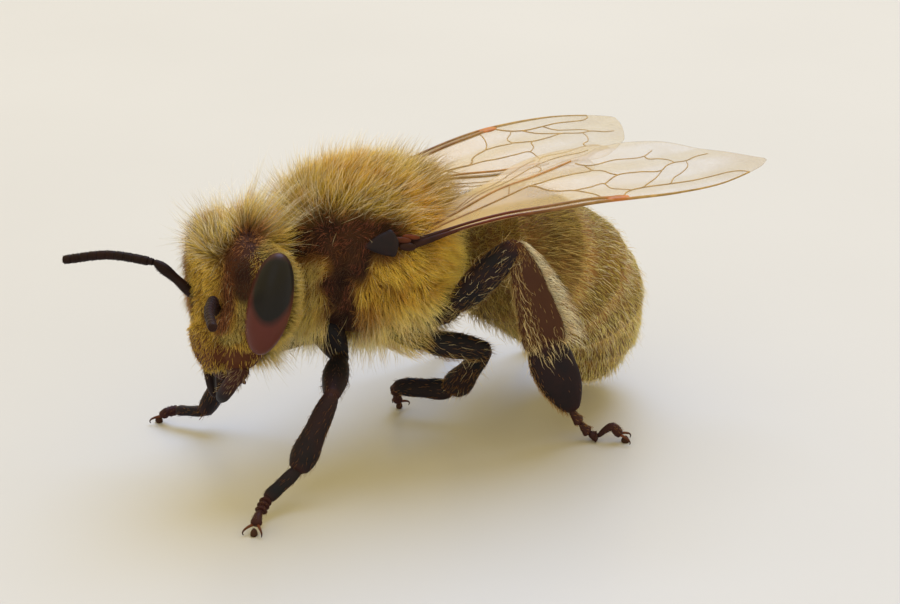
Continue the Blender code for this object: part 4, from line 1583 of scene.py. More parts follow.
# ---------------------------------------------------------------- abdomen
@dataclass
class Abdomen:
    """Six plates that slide under each other, short-haired, with pale bands at their fronts."""

    finishes: Finishes
    start: tuple[float, float, float] = (0.0, 2.8, 4.1)
    length: float = 6.5
    half_width: float = 2.15
    pitch_start: float = -2.0  # degrees
    pitch_end: float = -116.0
    inset: float = 0.13  # room for the coat
    tuck: float = 0.035  # how far a plate reaches under the one before it
    steps: int = 240
    sides: int = 108
    LIMITS = (0.0, 0.17, 0.36, 0.53, 0.69, 0.84, 0.985)  # shares of the length between the plates
    SIZES = (  # share of the length, share of the half width for the width and for the height
        (0.0, 0.2, 0.2), (0.04, 0.42, 0.4), (0.12, 0.76, 0.68), (0.24, 0.95, 0.8), (0.4, 1.0, 0.88),
        (0.56, 0.97, 0.89), (0.72, 0.83, 0.78), (0.86, 0.58, 0.58), (0.95, 0.33, 0.36), (1.0, 0.12, 0.14),
    )
    AMBER_SHARES = (0.15, 0.35, 0.55, 0.6, 0.6, 0.3)  # of each plate in turn
    FELT_SHARES = (0.0, 0.0, 0.75, 0.75, 0.75, 0.0)
    FORE_SHARES = (1.0, 0.65, 0.0, 0.0, 0.0, 0.0)  # how far its coat is like the thorax's
    # partly painted light: the plates from this one on are pale all round, for light bounced up from the
    # floor
    PALE_FROM = 5  # the first plate that is pale all round

    @property
    def count(self) -> int:
        """How many plates there are."""
        return len(self.LIMITS) - 1

    def axis(self, shares: Array) -> tuple[Array, Array]:
        """The middle line at shares of the length, and the way back along it.

        Args:
            shares: Shares of the length.

        Returns:
            The points and the ways, one a row.
        """
        steps = np.linspace(0.0, 1.0, self.steps + 1)
        pitch = np.radians(self.pitch_start + (self.pitch_end - self.pitch_start) * steps**1.5)
        heading = columns(0.0, np.cos(pitch), np.sin(pitch))
        line = np.concatenate([np.zeros((1, 3)), np.cumsum((heading[1:] + heading[:-1]) / 2, axis=0)])
        line = np.array(self.start) + line * self.length / self.steps
        return read_line(line, steps, shares), unit(read_line(heading, steps, shares))

    def size(self, shares: Array) -> Array:
        """Half the width and half the height at shares of the length."""
        thin = 0.13 * ramp(shares, 0.5, 0.8)[:, None]
        return curve(self.SIZES, shares) * self.half_width - self.inset - thin

    def plate(self, number: int) -> bpy.types.Object:
        """One plate, tucked under the one before it and lipped behind.

        Args:
            number: Its number from the front, from 1.

        Returns:
            The plate.
        """
        low, high = self.LIMITS[number - 1 : number + 1]
        under = np.linspace(low - self.tuck, low, 4)[:3] if number > 1 else []
        lip = high + np.array([-0.004, 0.0, -0.002, -0.02])
        shares = np.concatenate([under, np.linspace(low, high - 0.012, 22), lip])
        lift = np.interp(shares, [low - 0.05, low, low + 0.05, high], [-0.13, -0.07, -0.005, 0.03])
        if number == 1:
            lift = np.interp(shares, [low, high], [0.0, 0.03])
        lift[-4:] += np.array([0.004, -0.012, -0.05, -0.12])
        last = number == self.count
        if last:
            lift[-4:] = 0.0
            shares[-4:] = high + np.array([-0.008, 0.0, 0.006, 0.01])
        where, way = self.axis(shares)
        size = self.size(shares) + lift[:, None]
        if last:
            size[-4:] *= np.array([0.9, 0.72, 0.5, 0.25])[:, None]
        belly = ramp(np.sin(2 * np.pi * np.arange(self.sides) / self.sides), -0.34, -0.44)
        rings = []
        for centre, out, (wide, tall) in zip(where, np.cross(LEFTWARD, way), np.maximum(size, 0.02)):
            ring = ring_points(centre, LEFTWARD, out, wide, tall, self.sides, 2.08)
            rings.append(ring + (centre - ring) * (0.035 * belly / max(tall, 0.3))[:, None])
        shape = Shape()
        shape.loft(rings, share=(shares - low) / (high - low), way=way)
        name = f"abdomen_plate_{number}"
        piece = shape.made(name, self.finishes.plate, Slot.BROWN_COAT, f"abdomen_{number}")
        keep(piece.data, "marking", tinted(self.marking(kept(piece.data, "share"), number)))
        return piece

    def marking(self, share: Array, number: int) -> Array:
        """The plate's colours, amber in front and dark brown behind, with a paler rim."""
        amber = self.AMBER_SHARES[number - 1] * ramp(share, 0.5, 0.1)
        rim = 0.6 * groove(share - 1.0, 0.06)
        return layered((0.13, 0.075, 0.02), (AMBER, amber), ((0.3, 0.17, 0.08), rim))

    def pelt(self, points: Array, normals: Array, way: Array, share: Array, number: int) -> Pelt:
        """The coat of one plate: a pale felt band in front, olive hair behind it.

        Args:
            points: Points on the plate.
            normals: The way out of it there.
            way: The way back along the body there.
            share: How far along the plate they are.
            number: The plate's number.

        Returns:
            How the hair grows at each point.
        """
        z = points[:, 2]
        band = self.FELT_SHARES[number - 1] * ramp(share, 0.55, 0.1)
        fore = self.FORE_SHARES[number - 1]
        below = ramp(normals[:, 2], -0.2, -0.6)
        flat = 0.8 - 0.35 * fore - 0.1 * band
        length = 0.2 + 0.16 * fore + 0.05 * (number == self.count) - 0.05 * band
        length = length * ramp(share, 1.05, 0.9) * (0.35 + 0.65 * ramp(z, 0.15, 0.8))
        density = (0.8 + 0.5 * band) * ramp(share, -0.06, 0.02) * ramp(share, 1.02, 0.9) * (1 - 0.35 * below)
        # partly painted light: paler where the plate faces down and on the last plates, for light bounced up
        # from the floor
        pale = held(ramp(normals[:, 2], 0.4, -0.5) + 0.5 * (number >= self.PALE_FROM)) * (1 - fore) * 0.95
        root = layered(
            (0.48, 0.36, 0.06), (BROWN, 0.35 * fore * ramp(z, 4.9, 4.0)), ((0.72, 0.64, 0.3), band),
            ((0.85, 0.74, 0.28), pale),
        )
        tip = layered(
            (0.9, 0.74, 0.2), ((0.34, 0.18, 0.05), 0.6 * fore), ((0.94, 0.86, 0.5), band),
            ((1.0, 0.92, 0.44), pale),
        )
        if number == 2:
            streak = patch(mirrored(points), (1.75, 4.3, 4.2), (0.9, 1.0, 1.3), 0.7)
            root = mixed(root, (0.09, 0.035, 0.016), 0.5 * streak)
            tip = mixed(tip, (0.4, 0.22, 0.06), 0.35 * streak)
            length, flat = length + 0.12 * streak, flat - 0.2 * streak
            density = density * (1 - 0.4 * streak)
        return Pelt(way + np.array([0.0, 0.0, -0.25]), flat, length, density, root, tip)

    def build(self) -> None:
        """Makes the abdomen."""
        coat = Coat(per_mm2=380, rings=3, width=0.0062, clump=0.14, pull=0.22, scatter=0.3, curl=0.25)
        for number in range(1, self.count + 1):
            plate = self.plate(number)
            points, normals = points_of(plate.data)
            way, share = kept(plate.data, "way", 3), kept(plate.data, "share")
            coat.seed = SEEDS["abdomen"] + number
            pelt = self.pelt(points, normals, way, share, number)
            coat.grow(f"abdomen_coat_{number}", plate, pelt, self.finishes.fur, Slot.BROWN_COAT)
            fore = self.FORE_SHARES[number - 1] > 0
            per_mm2, length, flat = (65, 1.6, 0.6) if fore else (32, 1.3, 0.5)
            # the cream hairs on the rear plates are partly a painted reflection, standing in for the pale
            # shine along the abdomen's outline
            gold = (0.95, 0.74, 0.26) if fore else CREAM
            root = mixed(gold, BROWN, 0.4) if fore else gold
            side = (0.35 + ramp(points[:, 2], 5.9, 5.2)) * ramp(share, 0.0, 0.1) * ramp(share, 1.0, 0.9)
            sparse = Coat(per_mm2, 4, 0.0048, pull=0.3, frizz=0.2, seed=SEEDS["abdomen_guard"] + number)
            long = Pelt(pelt.lie, flat * pelt.flat, length * pelt.length + 0.08, side, root, gold)
            sparse.grow(f"abdomen_guard_hair_{number}", plate, long, self.finishes.fur, Slot.BROWN_COAT)


# ---------------------------------------------------------------- legs
class Joint(Enum):
    """The joints of a leg in order from the body."""

    HIP = 0
    TROCHANTER = 1
    KNEE = 2
    ANKLE = 3
    HEEL = 4
    TOE = 5


JOINTS = {
    ("front", Side.LEFT): (
        (0.5, -0.85, 3.5), (0.62, -0.45, 2.55), (2.2, -1.48, 2.37), (2.4, -2.45, 0.87), (2.62, -3.33, 0.46),
        (3.2, -3.9, 0.18),
    ),
    ("front", Side.RIGHT): (
        (-0.5, -0.85, 3.5), (-0.7, -0.5, 2.6), (-2.05, -1.75, 2.0), (-2.33, -2.6, 0.5), (-2.9, -3.06, 0.42),
        (-3.25, -3.3, 0.18),
    ),
    ("middle", Side.LEFT): (
        (0.75, 0.5, 3.5), (1.15, 1.25, 2.78), (1.05, 3.22, 2.1), (0.0, 2.9, 0.75), (-1.0, 1.87, 0.7),
        (-1.12, 2.0, 0.2),
    ),
    ("middle", Side.RIGHT): (
        (-0.75, 0.5, 3.5), (-1.15, 1.1, 2.85), (-2.9, 2.2, 3.5), (-3.2, 3.5, 2.0), (-3.4, 4.3, 0.8),
        (-3.7, 5.0, 0.18),
    ),
    ("hind", Side.LEFT): (
        (0.75, 1.85, 3.45), (1.5, 1.92, 3.45), (2.52, 3.03, 5.2), (2.62, 3.86, 2.63), (2.5, 4.68, 0.8),
        (3.2, 5.65, 0.18),
    ),
    ("hind", Side.RIGHT): (
        (-0.75, 1.85, 3.45), (-1.5, 1.92, 3.45), (-2.5, 3.3, 5.1), (-2.75, 5.1, 2.8), (-2.7, 6.4, 1.2),
        (-2.85, 7.2, 0.18),
    ),
}
BROAD_FACE = {"front": (0.75, -0.4, 0.5), "middle": (0.85, -0.3, 0.4), "hind": (0.92, -0.3, 0.2)}
COXA = ((0.0, 0.2, 0.2), (0.15, 0.36, 0.34), (0.6, 0.34, 0.31), (1.0, 0.2, 0.19))
SEGMENTS = {  # rows of (share, half width, half thickness) for coxa, femur, tibia and basitarsus
    "front": (
        COXA,
        ((0.0, 0.13, 0.13), (0.1, 0.2, 0.19), (0.42, 0.3, 0.25), (0.8, 0.23, 0.21), (1.0, 0.15, 0.15)),
        ((0.0, 0.14, 0.14), (0.12, 0.2, 0.18), (0.5, 0.26, 0.2), (0.86, 0.29, 0.2), (1.0, 0.17, 0.14)),
        ((0.0, 0.1, 0.1), (0.14, 0.14, 0.12), (0.6, 0.15, 0.12), (0.92, 0.13, 0.11), (1.0, 0.08, 0.08)),
    ),
    "middle": (
        COXA,
        ((0.0, 0.13, 0.13), (0.1, 0.22, 0.2), (0.45, 0.31, 0.26), (0.82, 0.24, 0.2), (1.0, 0.15, 0.15)),
        ((0.0, 0.13, 0.13), (0.12, 0.19, 0.17), (0.5, 0.27, 0.19), (0.86, 0.33, 0.2), (1.0, 0.2, 0.14)),
        ((0.0, 0.11, 0.1), (0.12, 0.22, 0.12), (0.5, 0.23, 0.12), (0.88, 0.18, 0.11), (1.0, 0.09, 0.08)),
    ),
    "hind": (
        ((0.0, 0.25, 0.22), (0.15, 0.44, 0.36), (0.6, 0.4, 0.34), (1.0, 0.24, 0.2)),
        ((0.0, 0.15, 0.14), (0.1, 0.24, 0.2), (0.5, 0.37, 0.28), (0.85, 0.27, 0.22), (1.0, 0.16, 0.15)),
        (
            (0.0, 0.13, 0.12), (0.1, 0.24, 0.14), (0.3, 0.36, 0.14), (0.55, 0.44, 0.14), (0.88, 0.52, 0.14),
            (1.0, 0.46, 0.1),
        ),
        (
            (0.0, 0.4, 0.1), (0.1, 0.48, 0.14), (0.35, 0.54, 0.14), (0.8, 0.36, 0.13), (0.93, 0.22, 0.11),
            (1.0, 0.12, 0.08),
        ),
    ),
}
BALL = ((0.0, 0.12, 0.12), (0.3, 0.2, 0.19), (0.7, 0.2, 0.19), (1.0, 0.14, 0.14))  # the trochanter
TARSUS = ((0.0, 0.45, 0.45), (0.15, 0.62, 0.6), (0.6, 0.95, 0.9), (0.88, 1.15, 1.0), (1.0, 0.6, 0.6))
LAST_TARSUS = ((0.0, 0.4, 0.4), (0.2, 0.6, 0.6), (0.7, 0.95, 0.9), (0.9, 1.1, 1.0), (1.0, 0.7, 0.7))
FOOT_STOPS = (0.0, 0.2, 0.38, 0.55, 1.0)  # shares of the foot where its small joints end
PAD = ((0.0, 0.5), (0.004, 0.8), (0.03, 1.0), (0.08, 0.95), (0.13, 0.7), (0.17, 0.35))  # height, size
DROP = (  # share, the hind foot's sag
    (0.0, 0.0), (0.2, -0.22), (0.38, -0.35), (0.55, -0.32), (0.7, -0.06), (0.85, 0.12), (1.0, 0.0)
)
SWAY = {  # how far back the middle of a length stands, for the broad hind ones
    3: ((0.0, 0.0), (0.15, 0.05), (0.4, 0.07), (0.8, 0.05), (1.0, 0.0)),
    4: ((0.0, 0.0), (0.3, 0.0), (0.75, 0.05), (0.92, 0.03), (1.0, 0.0)),
}


@dataclass
class Leg:
    """One leg: coxa, trochanter, femur, tibia, basitarsus, four small foot joints and the claws."""

    finishes: Finishes
    kind: str
    side: Side
    sides: int = 28
    tarsus_half: float = 0.118
    claw: float = 0.24  # how far a claw reaches
    comb: int = 13  # spines at the end of the hind shin

    def __post_init__(self) -> None:
        """Works out the joints and the way that the broad side looks."""
        self.joints = [np.array(point) for point in JOINTS[self.kind, self.side]]
        self.face = unit(np.array(BROAD_FACE[self.kind]) * (self.side.value, 1, 1))
        self.hind = self.kind == "hind"
        self.shape = Shape()

    def joint(self, joint: Joint) -> Array:
        """Where one joint is."""
        return self.joints[joint.value]

    def behind(self, points: Array) -> Array:
        """How far points lie behind the shin's middle line, across its broad side."""
        knee = self.joint(Joint.KNEE)
        back = unit(np.cross(unit(self.joint(Joint.ANKLE) - knee), self.face))
        return (points - knee) @ (back * np.sign(back[1]))

    def segment(
        self, start: Array, end: Array, rows: Sequence, number: int, bow: float = 0.0, full: float = 2.2
    ) -> None:
        """One length of the leg.

        Args:
            start: Its joint nearer to the body.
            end: Its further joint.
            rows: Rows of (share, half width, half thickness).
            number: Its place in the leg, kept for the coat.
            bow: How far its middle bows towards its broad side.
            full: As in ring_points.
        """
        reach = 0.06  # how far it goes past each joint, and the share over which its ends are rounded
        shares = np.concatenate([
            np.linspace(0.0, 0.1, 5)[:-1], np.linspace(0.1, 0.9, 20), np.linspace(0.9, 1.0, 6)[1:]
        ])
        wide, thick = curve(rows, shares).T
        tip = np.sqrt(np.clip(np.minimum(shares, 1 - shares) / reach, 0.04, 1.0))
        axis = end - start
        path = start + axis * (shares * (1 + 2 * reach) - reach)[:, None]
        path = path + self.face * (np.sin(np.pi * shares) * bow)[:, None]
        shin = self.hind and number == 3
        if self.hind and number in SWAY:
            rear = np.cross(unit(axis), self.face)
            path = path + unit(rear * np.sign(rear[1])) * curve(SWAY[number], shares)
        rings = swept(path, wide * tip, thick * tip, self.face, self.sides, full)
        if shin:
            rings = self.basket(rings, path, wide)
        tone = mixed(SHELL_BLACK, SHELL_RED, 0.7 * ramp(np.abs(shares - 0.5), 0.36, 0.5))
        tone = mixed(tone, (0.085, 0.034, 0.016), 0.8 * shin)
        self.shape.loft(rings, part=float(number), share=shares, lie=unit(axis), marking=tinted(tone))

    def basket(self, rings: Array, path: Array, wide: Array) -> Array:
        """The hind shin's outer face hollowed into the pollen basket.

        Args:
            rings: The shin's sections.
            path: Their middles.
            wide: Half the width of each.

        Returns:
            The sections with the hollow.
        """
        outward = np.einsum("rsk,k->rs", rings - path[:, None, :], self.face)
        across = np.linalg.norm(rings - path[:, None, :] - outward[..., None] * self.face, axis=2)
        middle = ramp(across / np.maximum(wide, 0.05)[:, None], 0.85, 0.3)
        along = ramp(np.arange(len(path)) / len(path), 0.12, 0.35)[:, None]
        return rings - self.face * (0.09 * middle * along * (outward > 0))[..., None]

    def foot(self) -> None:
        """The four small joints past the heel, the two claws and the pad between them."""
        heel, toe = self.joint(Joint.HEEL), self.joint(Joint.TOE)
        axis = toe - heel
        turn = np.linspace(0.0, 1.0, 12)
        for number, (low, high) in enumerate(zip(FOOT_STOPS, FOOT_STOPS[1:])):
            last = high == FOOT_STOPS[-1]
            wide, thick = (curve(LAST_TARSUS if last else TARSUS, turn) * self.tarsus_half).T
            if self.hind and not last:
                wide = wide * 1.25
            way = low + (high - low) * turn
            sag = (0.05 * np.sin(np.pi * way) + last * 0.06 * np.sin(np.pi * turn))[:, None]
            path = heel + axis * way[:, None] + UP * (curve(DROP, way) if self.hind else sag)
            tone = tinted(mixed(SHELL_BLACK, SHELL_RED, 0.5 + 0.5 * turn))
            rings = swept(path, wide, thick, UP + 0.1 * self.face, 14)
            self.shape.loft(rings, part=5.0 + number, share=turn, lie=unit(axis), marking=tone)
        level = unit(axis * (1, 1, 0))
        beside = np.cross(UP, level)
        tone = tinted(mixed((0.16, 0.05, 0.02), SHELL_BLACK, turn))
        for s in (1, -1):
            forward = np.sin(turn * 1.9) * self.claw
            drop = 0.03 - 0.17 * turn**1.6
            spread = s * (0.05 + 0.17 * np.sin(turn * 2.0))
            path = toe + level * forward[:, None] + UP * drop[:, None] + beside * spread[:, None]
            path[:, 2] = np.maximum(path[:, 2], 0.045)
            self.shape.tube(
                path, 0.038 * (1 - 0.75 * turn), beside * s + UP * 0.3, 8, part=9.0, share=turn, lie=level,
                marking=tone,
            )
        flat = (toe + level * 0.12) * (1, 1, 0)
        rings = [ring_points(flat + UP * h, level, beside, 0.1 * r, 0.08 * r, 14) for h, r in PAD]
        self.shape.loft(rings, part=9.0, share=0.5, lie=level, marking=tinted((0.05, 0.022, 0.014)))

    def spurs(self) -> None:
        """The spines at the ends of the shin, and the comb of the hind one."""
        knee, ankle, heel = (self.joint(j) for j in (Joint.KNEE, Joint.ANKLE, Joint.HEEL))
        axis, onward = unit(ankle - knee), unit(heel - ankle)
        across = unit(np.cross(axis, self.face))
        half = SEGMENTS[self.kind][2][-2][1]
        turn = np.linspace(0.0, 1.0, 7)
        long = 0.2 if self.hind else 0.42
        for reach in np.linspace(-0.8, 0.8, self.comb) if self.hind else (0.0,):
            root = ankle - axis * 0.12 + across * reach * half * 0.9 - self.face * 0.05
            path = root + (axis * 0.6 + onward * 0.5 - self.face * 0.25) * long * turn[:, None]
            self.shape.tube(
                path, 0.026 * (1 - 0.8 * turn), across, 6, part=9.0, share=0.5, lie=axis,
                marking=tinted((0.2, 0.08, 0.03)),
            )

    def pelt(self, piece: bpy.types.Object) -> Pelt:
        """The leg's coat: fine golden hair, a pale fringe behind the hind shin, a ring at its end.

        Args:
            piece: The bare leg.

        Returns:
            How the hair grows at each point.
        """
        points, normals = points_of(piece.data)
        part, share, lie = kept(piece.data, "part"), kept(piece.data, "share"), kept(piece.data, "lie", 3)
        outer = normals @ self.face
        steps = [part < end for end in (0.5, 1.5, 2.5, 3.5, 4.5, 8.5)]
        length = np.select(steps, [0.3, 0.22, 0.17, 0.15, 0.12, 0.1], 0.0)
        density = np.select(steps, [0.9, 0.8, 0.7, 1.0, 0.7, 0.9], 0.0)
        flat = np.select(steps, [0.4, 0.45, 0.6, 0.68, 0.7, 0.6], 0.6)
        dark = np.select(steps, [0.0, 0.2, 0.3, 0.1, 0.6, 0.5], 0.0)
        hip = part < 1.5
        density = density * (1 - 0.6 * (part > 1.5) * (part < 4.5) * ramp(np.abs(outer), 0.4, 0.85))
        under = ramp(normals[:, 2], 0.1, -0.5) * (part < 2.5)
        length, flat = length + 0.16 * under, flat - 0.2 * under
        root = mixed((0.2, 0.08, 0.02), (0.3, 0.2, 0.05), 0.6 * hip)
        pale = held(0.7 * hip + 0.5 * under)
        tip = layered((0.6, 0.38, 0.11), ((0.16, 0.07, 0.03), dark), ((0.8, 0.66, 0.3), pale))
        pelt = Pelt(lie, flat, length, density, root, tip)
        if self.hind:
            self.broad(pelt, points, normals, part, share)
        elif self.kind == "middle":
            furred = (part < 0.5).astype(float)
            pelt.root = mixed(root, (0.62, 0.46, 0.12), furred)
            pelt.tip = mixed(tip, (0.92, 0.76, 0.3), furred)
            pelt.length, pelt.density = length + 0.12 * furred, density * (1 + 1.6 * furred)
        else:
            pelt.density = density * (0.55 - 0.35 * hip)
            pelt.tip = mixed(tip, (0.07, 0.03, 0.015), np.clip(0.3 + ramp(np.abs(outer), 0.25, 0.6), 0, 0.9))
        pelt.density = pelt.density * (share > 0.02) * ramp(points[:, 2], 0.16, 0.3)
        return pelt

    def broad(self, pelt: Pelt, points: Array, normals: Array, part: Array, share: Array) -> None:
        """Changes the coat on the broad lengths of a hind leg, with their fringes and bare faces.

        Args:
            pelt: The coat.
            points: The leg's points.
            normals: The way out of the leg there.
            part: The number of the length that each is on.
            share: How far along that length it is.
        """
        shin, heel = ((np.abs(part - number) < 0.5).astype(float) for number in (3, 4))
        outer = normals @ self.face
        across = unit(np.cross(pelt.lie, self.face))
        across = across * np.sign(across[:, 1:2] + 1e-9)
        rearward = np.sum(normals * across, axis=1)
        floor = ramp(outer, 0.5, 0.85) * shin * ramp(share, 0.12, 0.3) * ramp(share, 0.93, 0.86)
        floor = floor * ramp(self.behind(points), -0.1, 0.02)
        rear, fore = ramp(rearward, 0.5, 0.85) * shin, ramp(-rearward, 0.5, 0.85) * shin
        lip = ramp(-rearward, 0.2, 0.7) * heel
        end = shin * ramp(share, 0.86, 0.94)
        sole = heel * ramp(outer, -0.5, -0.8)
        density = pelt.density * (1 - 0.66 * floor) + 3.6 * rear + 0.8 * fore + 1.3 * end + 1.2 * sole
        density = density + 1.0 * shin * (1 - floor)
        pelt.density = density * (1 - 0.85 * heel * ramp(outer, 0.2, 0.6)) + 2.2 * lip
        pelt.length = (
            pelt.length + 0.1 * lip + (0.1 + 0.4 * ramp(share, 0.0, 0.55)) * rear + 0.06 * fore + 0.08 * end
            + 0.05 * sole
        )
        pelt.flat = pelt.flat - 0.26 * rear - 0.12 * end - 0.16 * shin * (1 - rear)
        aside, outward = 0.75 * rear - 0.3 * fore, 0.3 * rear + 0.1 * shin
        pelt.lie = unit(pelt.lie + across * aside[:, None] + self.face * outward[:, None])
        pelt.tip = layered(
            pelt.tip, ((1.0, 0.82, 0.36), held(0.85 * shin + 0.3 * end)), ((0.85, 0.62, 0.22), 0.8 * lip),
            ((1.0, 0.97, 0.84), rear),
        )
        pelt.root = mixed(pelt.root, (0.95, 0.88, 0.66), held(rear + 0.4 * end))

    def long_hair(self, piece: bpy.types.Object, pelt: Pelt, name: str) -> None:
        """The long curled hairs round the hind shin's basket, and the fine ones round the middle shin.

        Args:
            piece: The bare leg.
            pelt: The coat below them.
            name: The leg's name.
        """
        points, normals = points_of(piece.data)
        part, share = kept(piece.data, "part"), kept(piece.data, "share")
        femur, shin, heel = ((np.abs(part - number) < 0.5).astype(float) for number in (2, 3, 4))
        if self.hind:
            ring = held(ramp(-self.behind(points), -0.05, 0.2) + ramp(share, 0.72, 0.92))
            density = shin * ring * ramp(normals @ self.face, -0.2, 0.3)
            density = density + 0.5 * femur + 0.8 * heel * ramp(share, 0.3, 0.1)
            length = 0.3 + 0.12 * shin
            seed = SEEDS["hind_long"] + self.side.value
            coat = Coat(34, 5, 0.0052, pull=0.2, frizz=0.42, scatter=0.7, curl=1.1, seed=seed)
        else:
            density, length = shin + 0.6 * (part < 2.5), 0.36
            seed = SEEDS["middle_long"] + self.side.value
            coat = Coat(16, 4, 0.004, pull=0.1, frizz=0.15, scatter=0.4, curl=0.5, seed=seed)
        density = density * ramp(points[:, 2], 0.3, 0.6)
        gold = (0.98, 0.84, 0.5)
        long = Pelt(unit(pelt.lie + 0.8 * normals), 0.25, length, density, gold, gold)
        coat.grow(f"leg_long_hair_{name}", piece, long, self.finishes.bristle, Slot.BLACK_SHELL)

    def build(self) -> None:
        """Makes the leg."""
        hip, trochanter, knee, ankle, heel, _ = self.joints
        coxa, femur, tibia, basitarsus = SEGMENTS[self.kind]
        away = unit(knee - trochanter)
        self.segment(hip, trochanter, coxa, 0)
        self.segment(trochanter - away * 0.1, trochanter + away * 0.3, BALL, 1)
        self.segment(trochanter + away * 0.22, knee, femur, 2, 0.05)
        self.segment(knee, ankle, tibia, 3)
        self.segment(ankle, heel, basitarsus, 4, 0.0, 2.6)
        self.foot()
        self.spurs()
        name = f"{self.kind}_{self.side.word}"
        nodes = [f"leg_{name}_{part}" for part in ("coxa", "femur", "tibia", "basitarsus", "tarsus")]
        piece = self.shape.made(f"leg_{name}", self.finishes.leg, Slot.BLACK_SHELL, *nodes)
        seed = SEEDS["leg"] + 10 * list(BROAD_FACE).index(self.kind) + self.side.value
        coat = Coat(200, 3, 0.0046, pull=0.15, frizz=0.1, scatter=0.45, curl=0.8, seed=seed)
        pelt = self.pelt(piece)
        coat.grow(f"leg_hair_{name}", piece, pelt, self.finishes.bristle, Slot.BLACK_SHELL)
        if self.kind != "front":
            self.long_hair(piece, pelt, name)


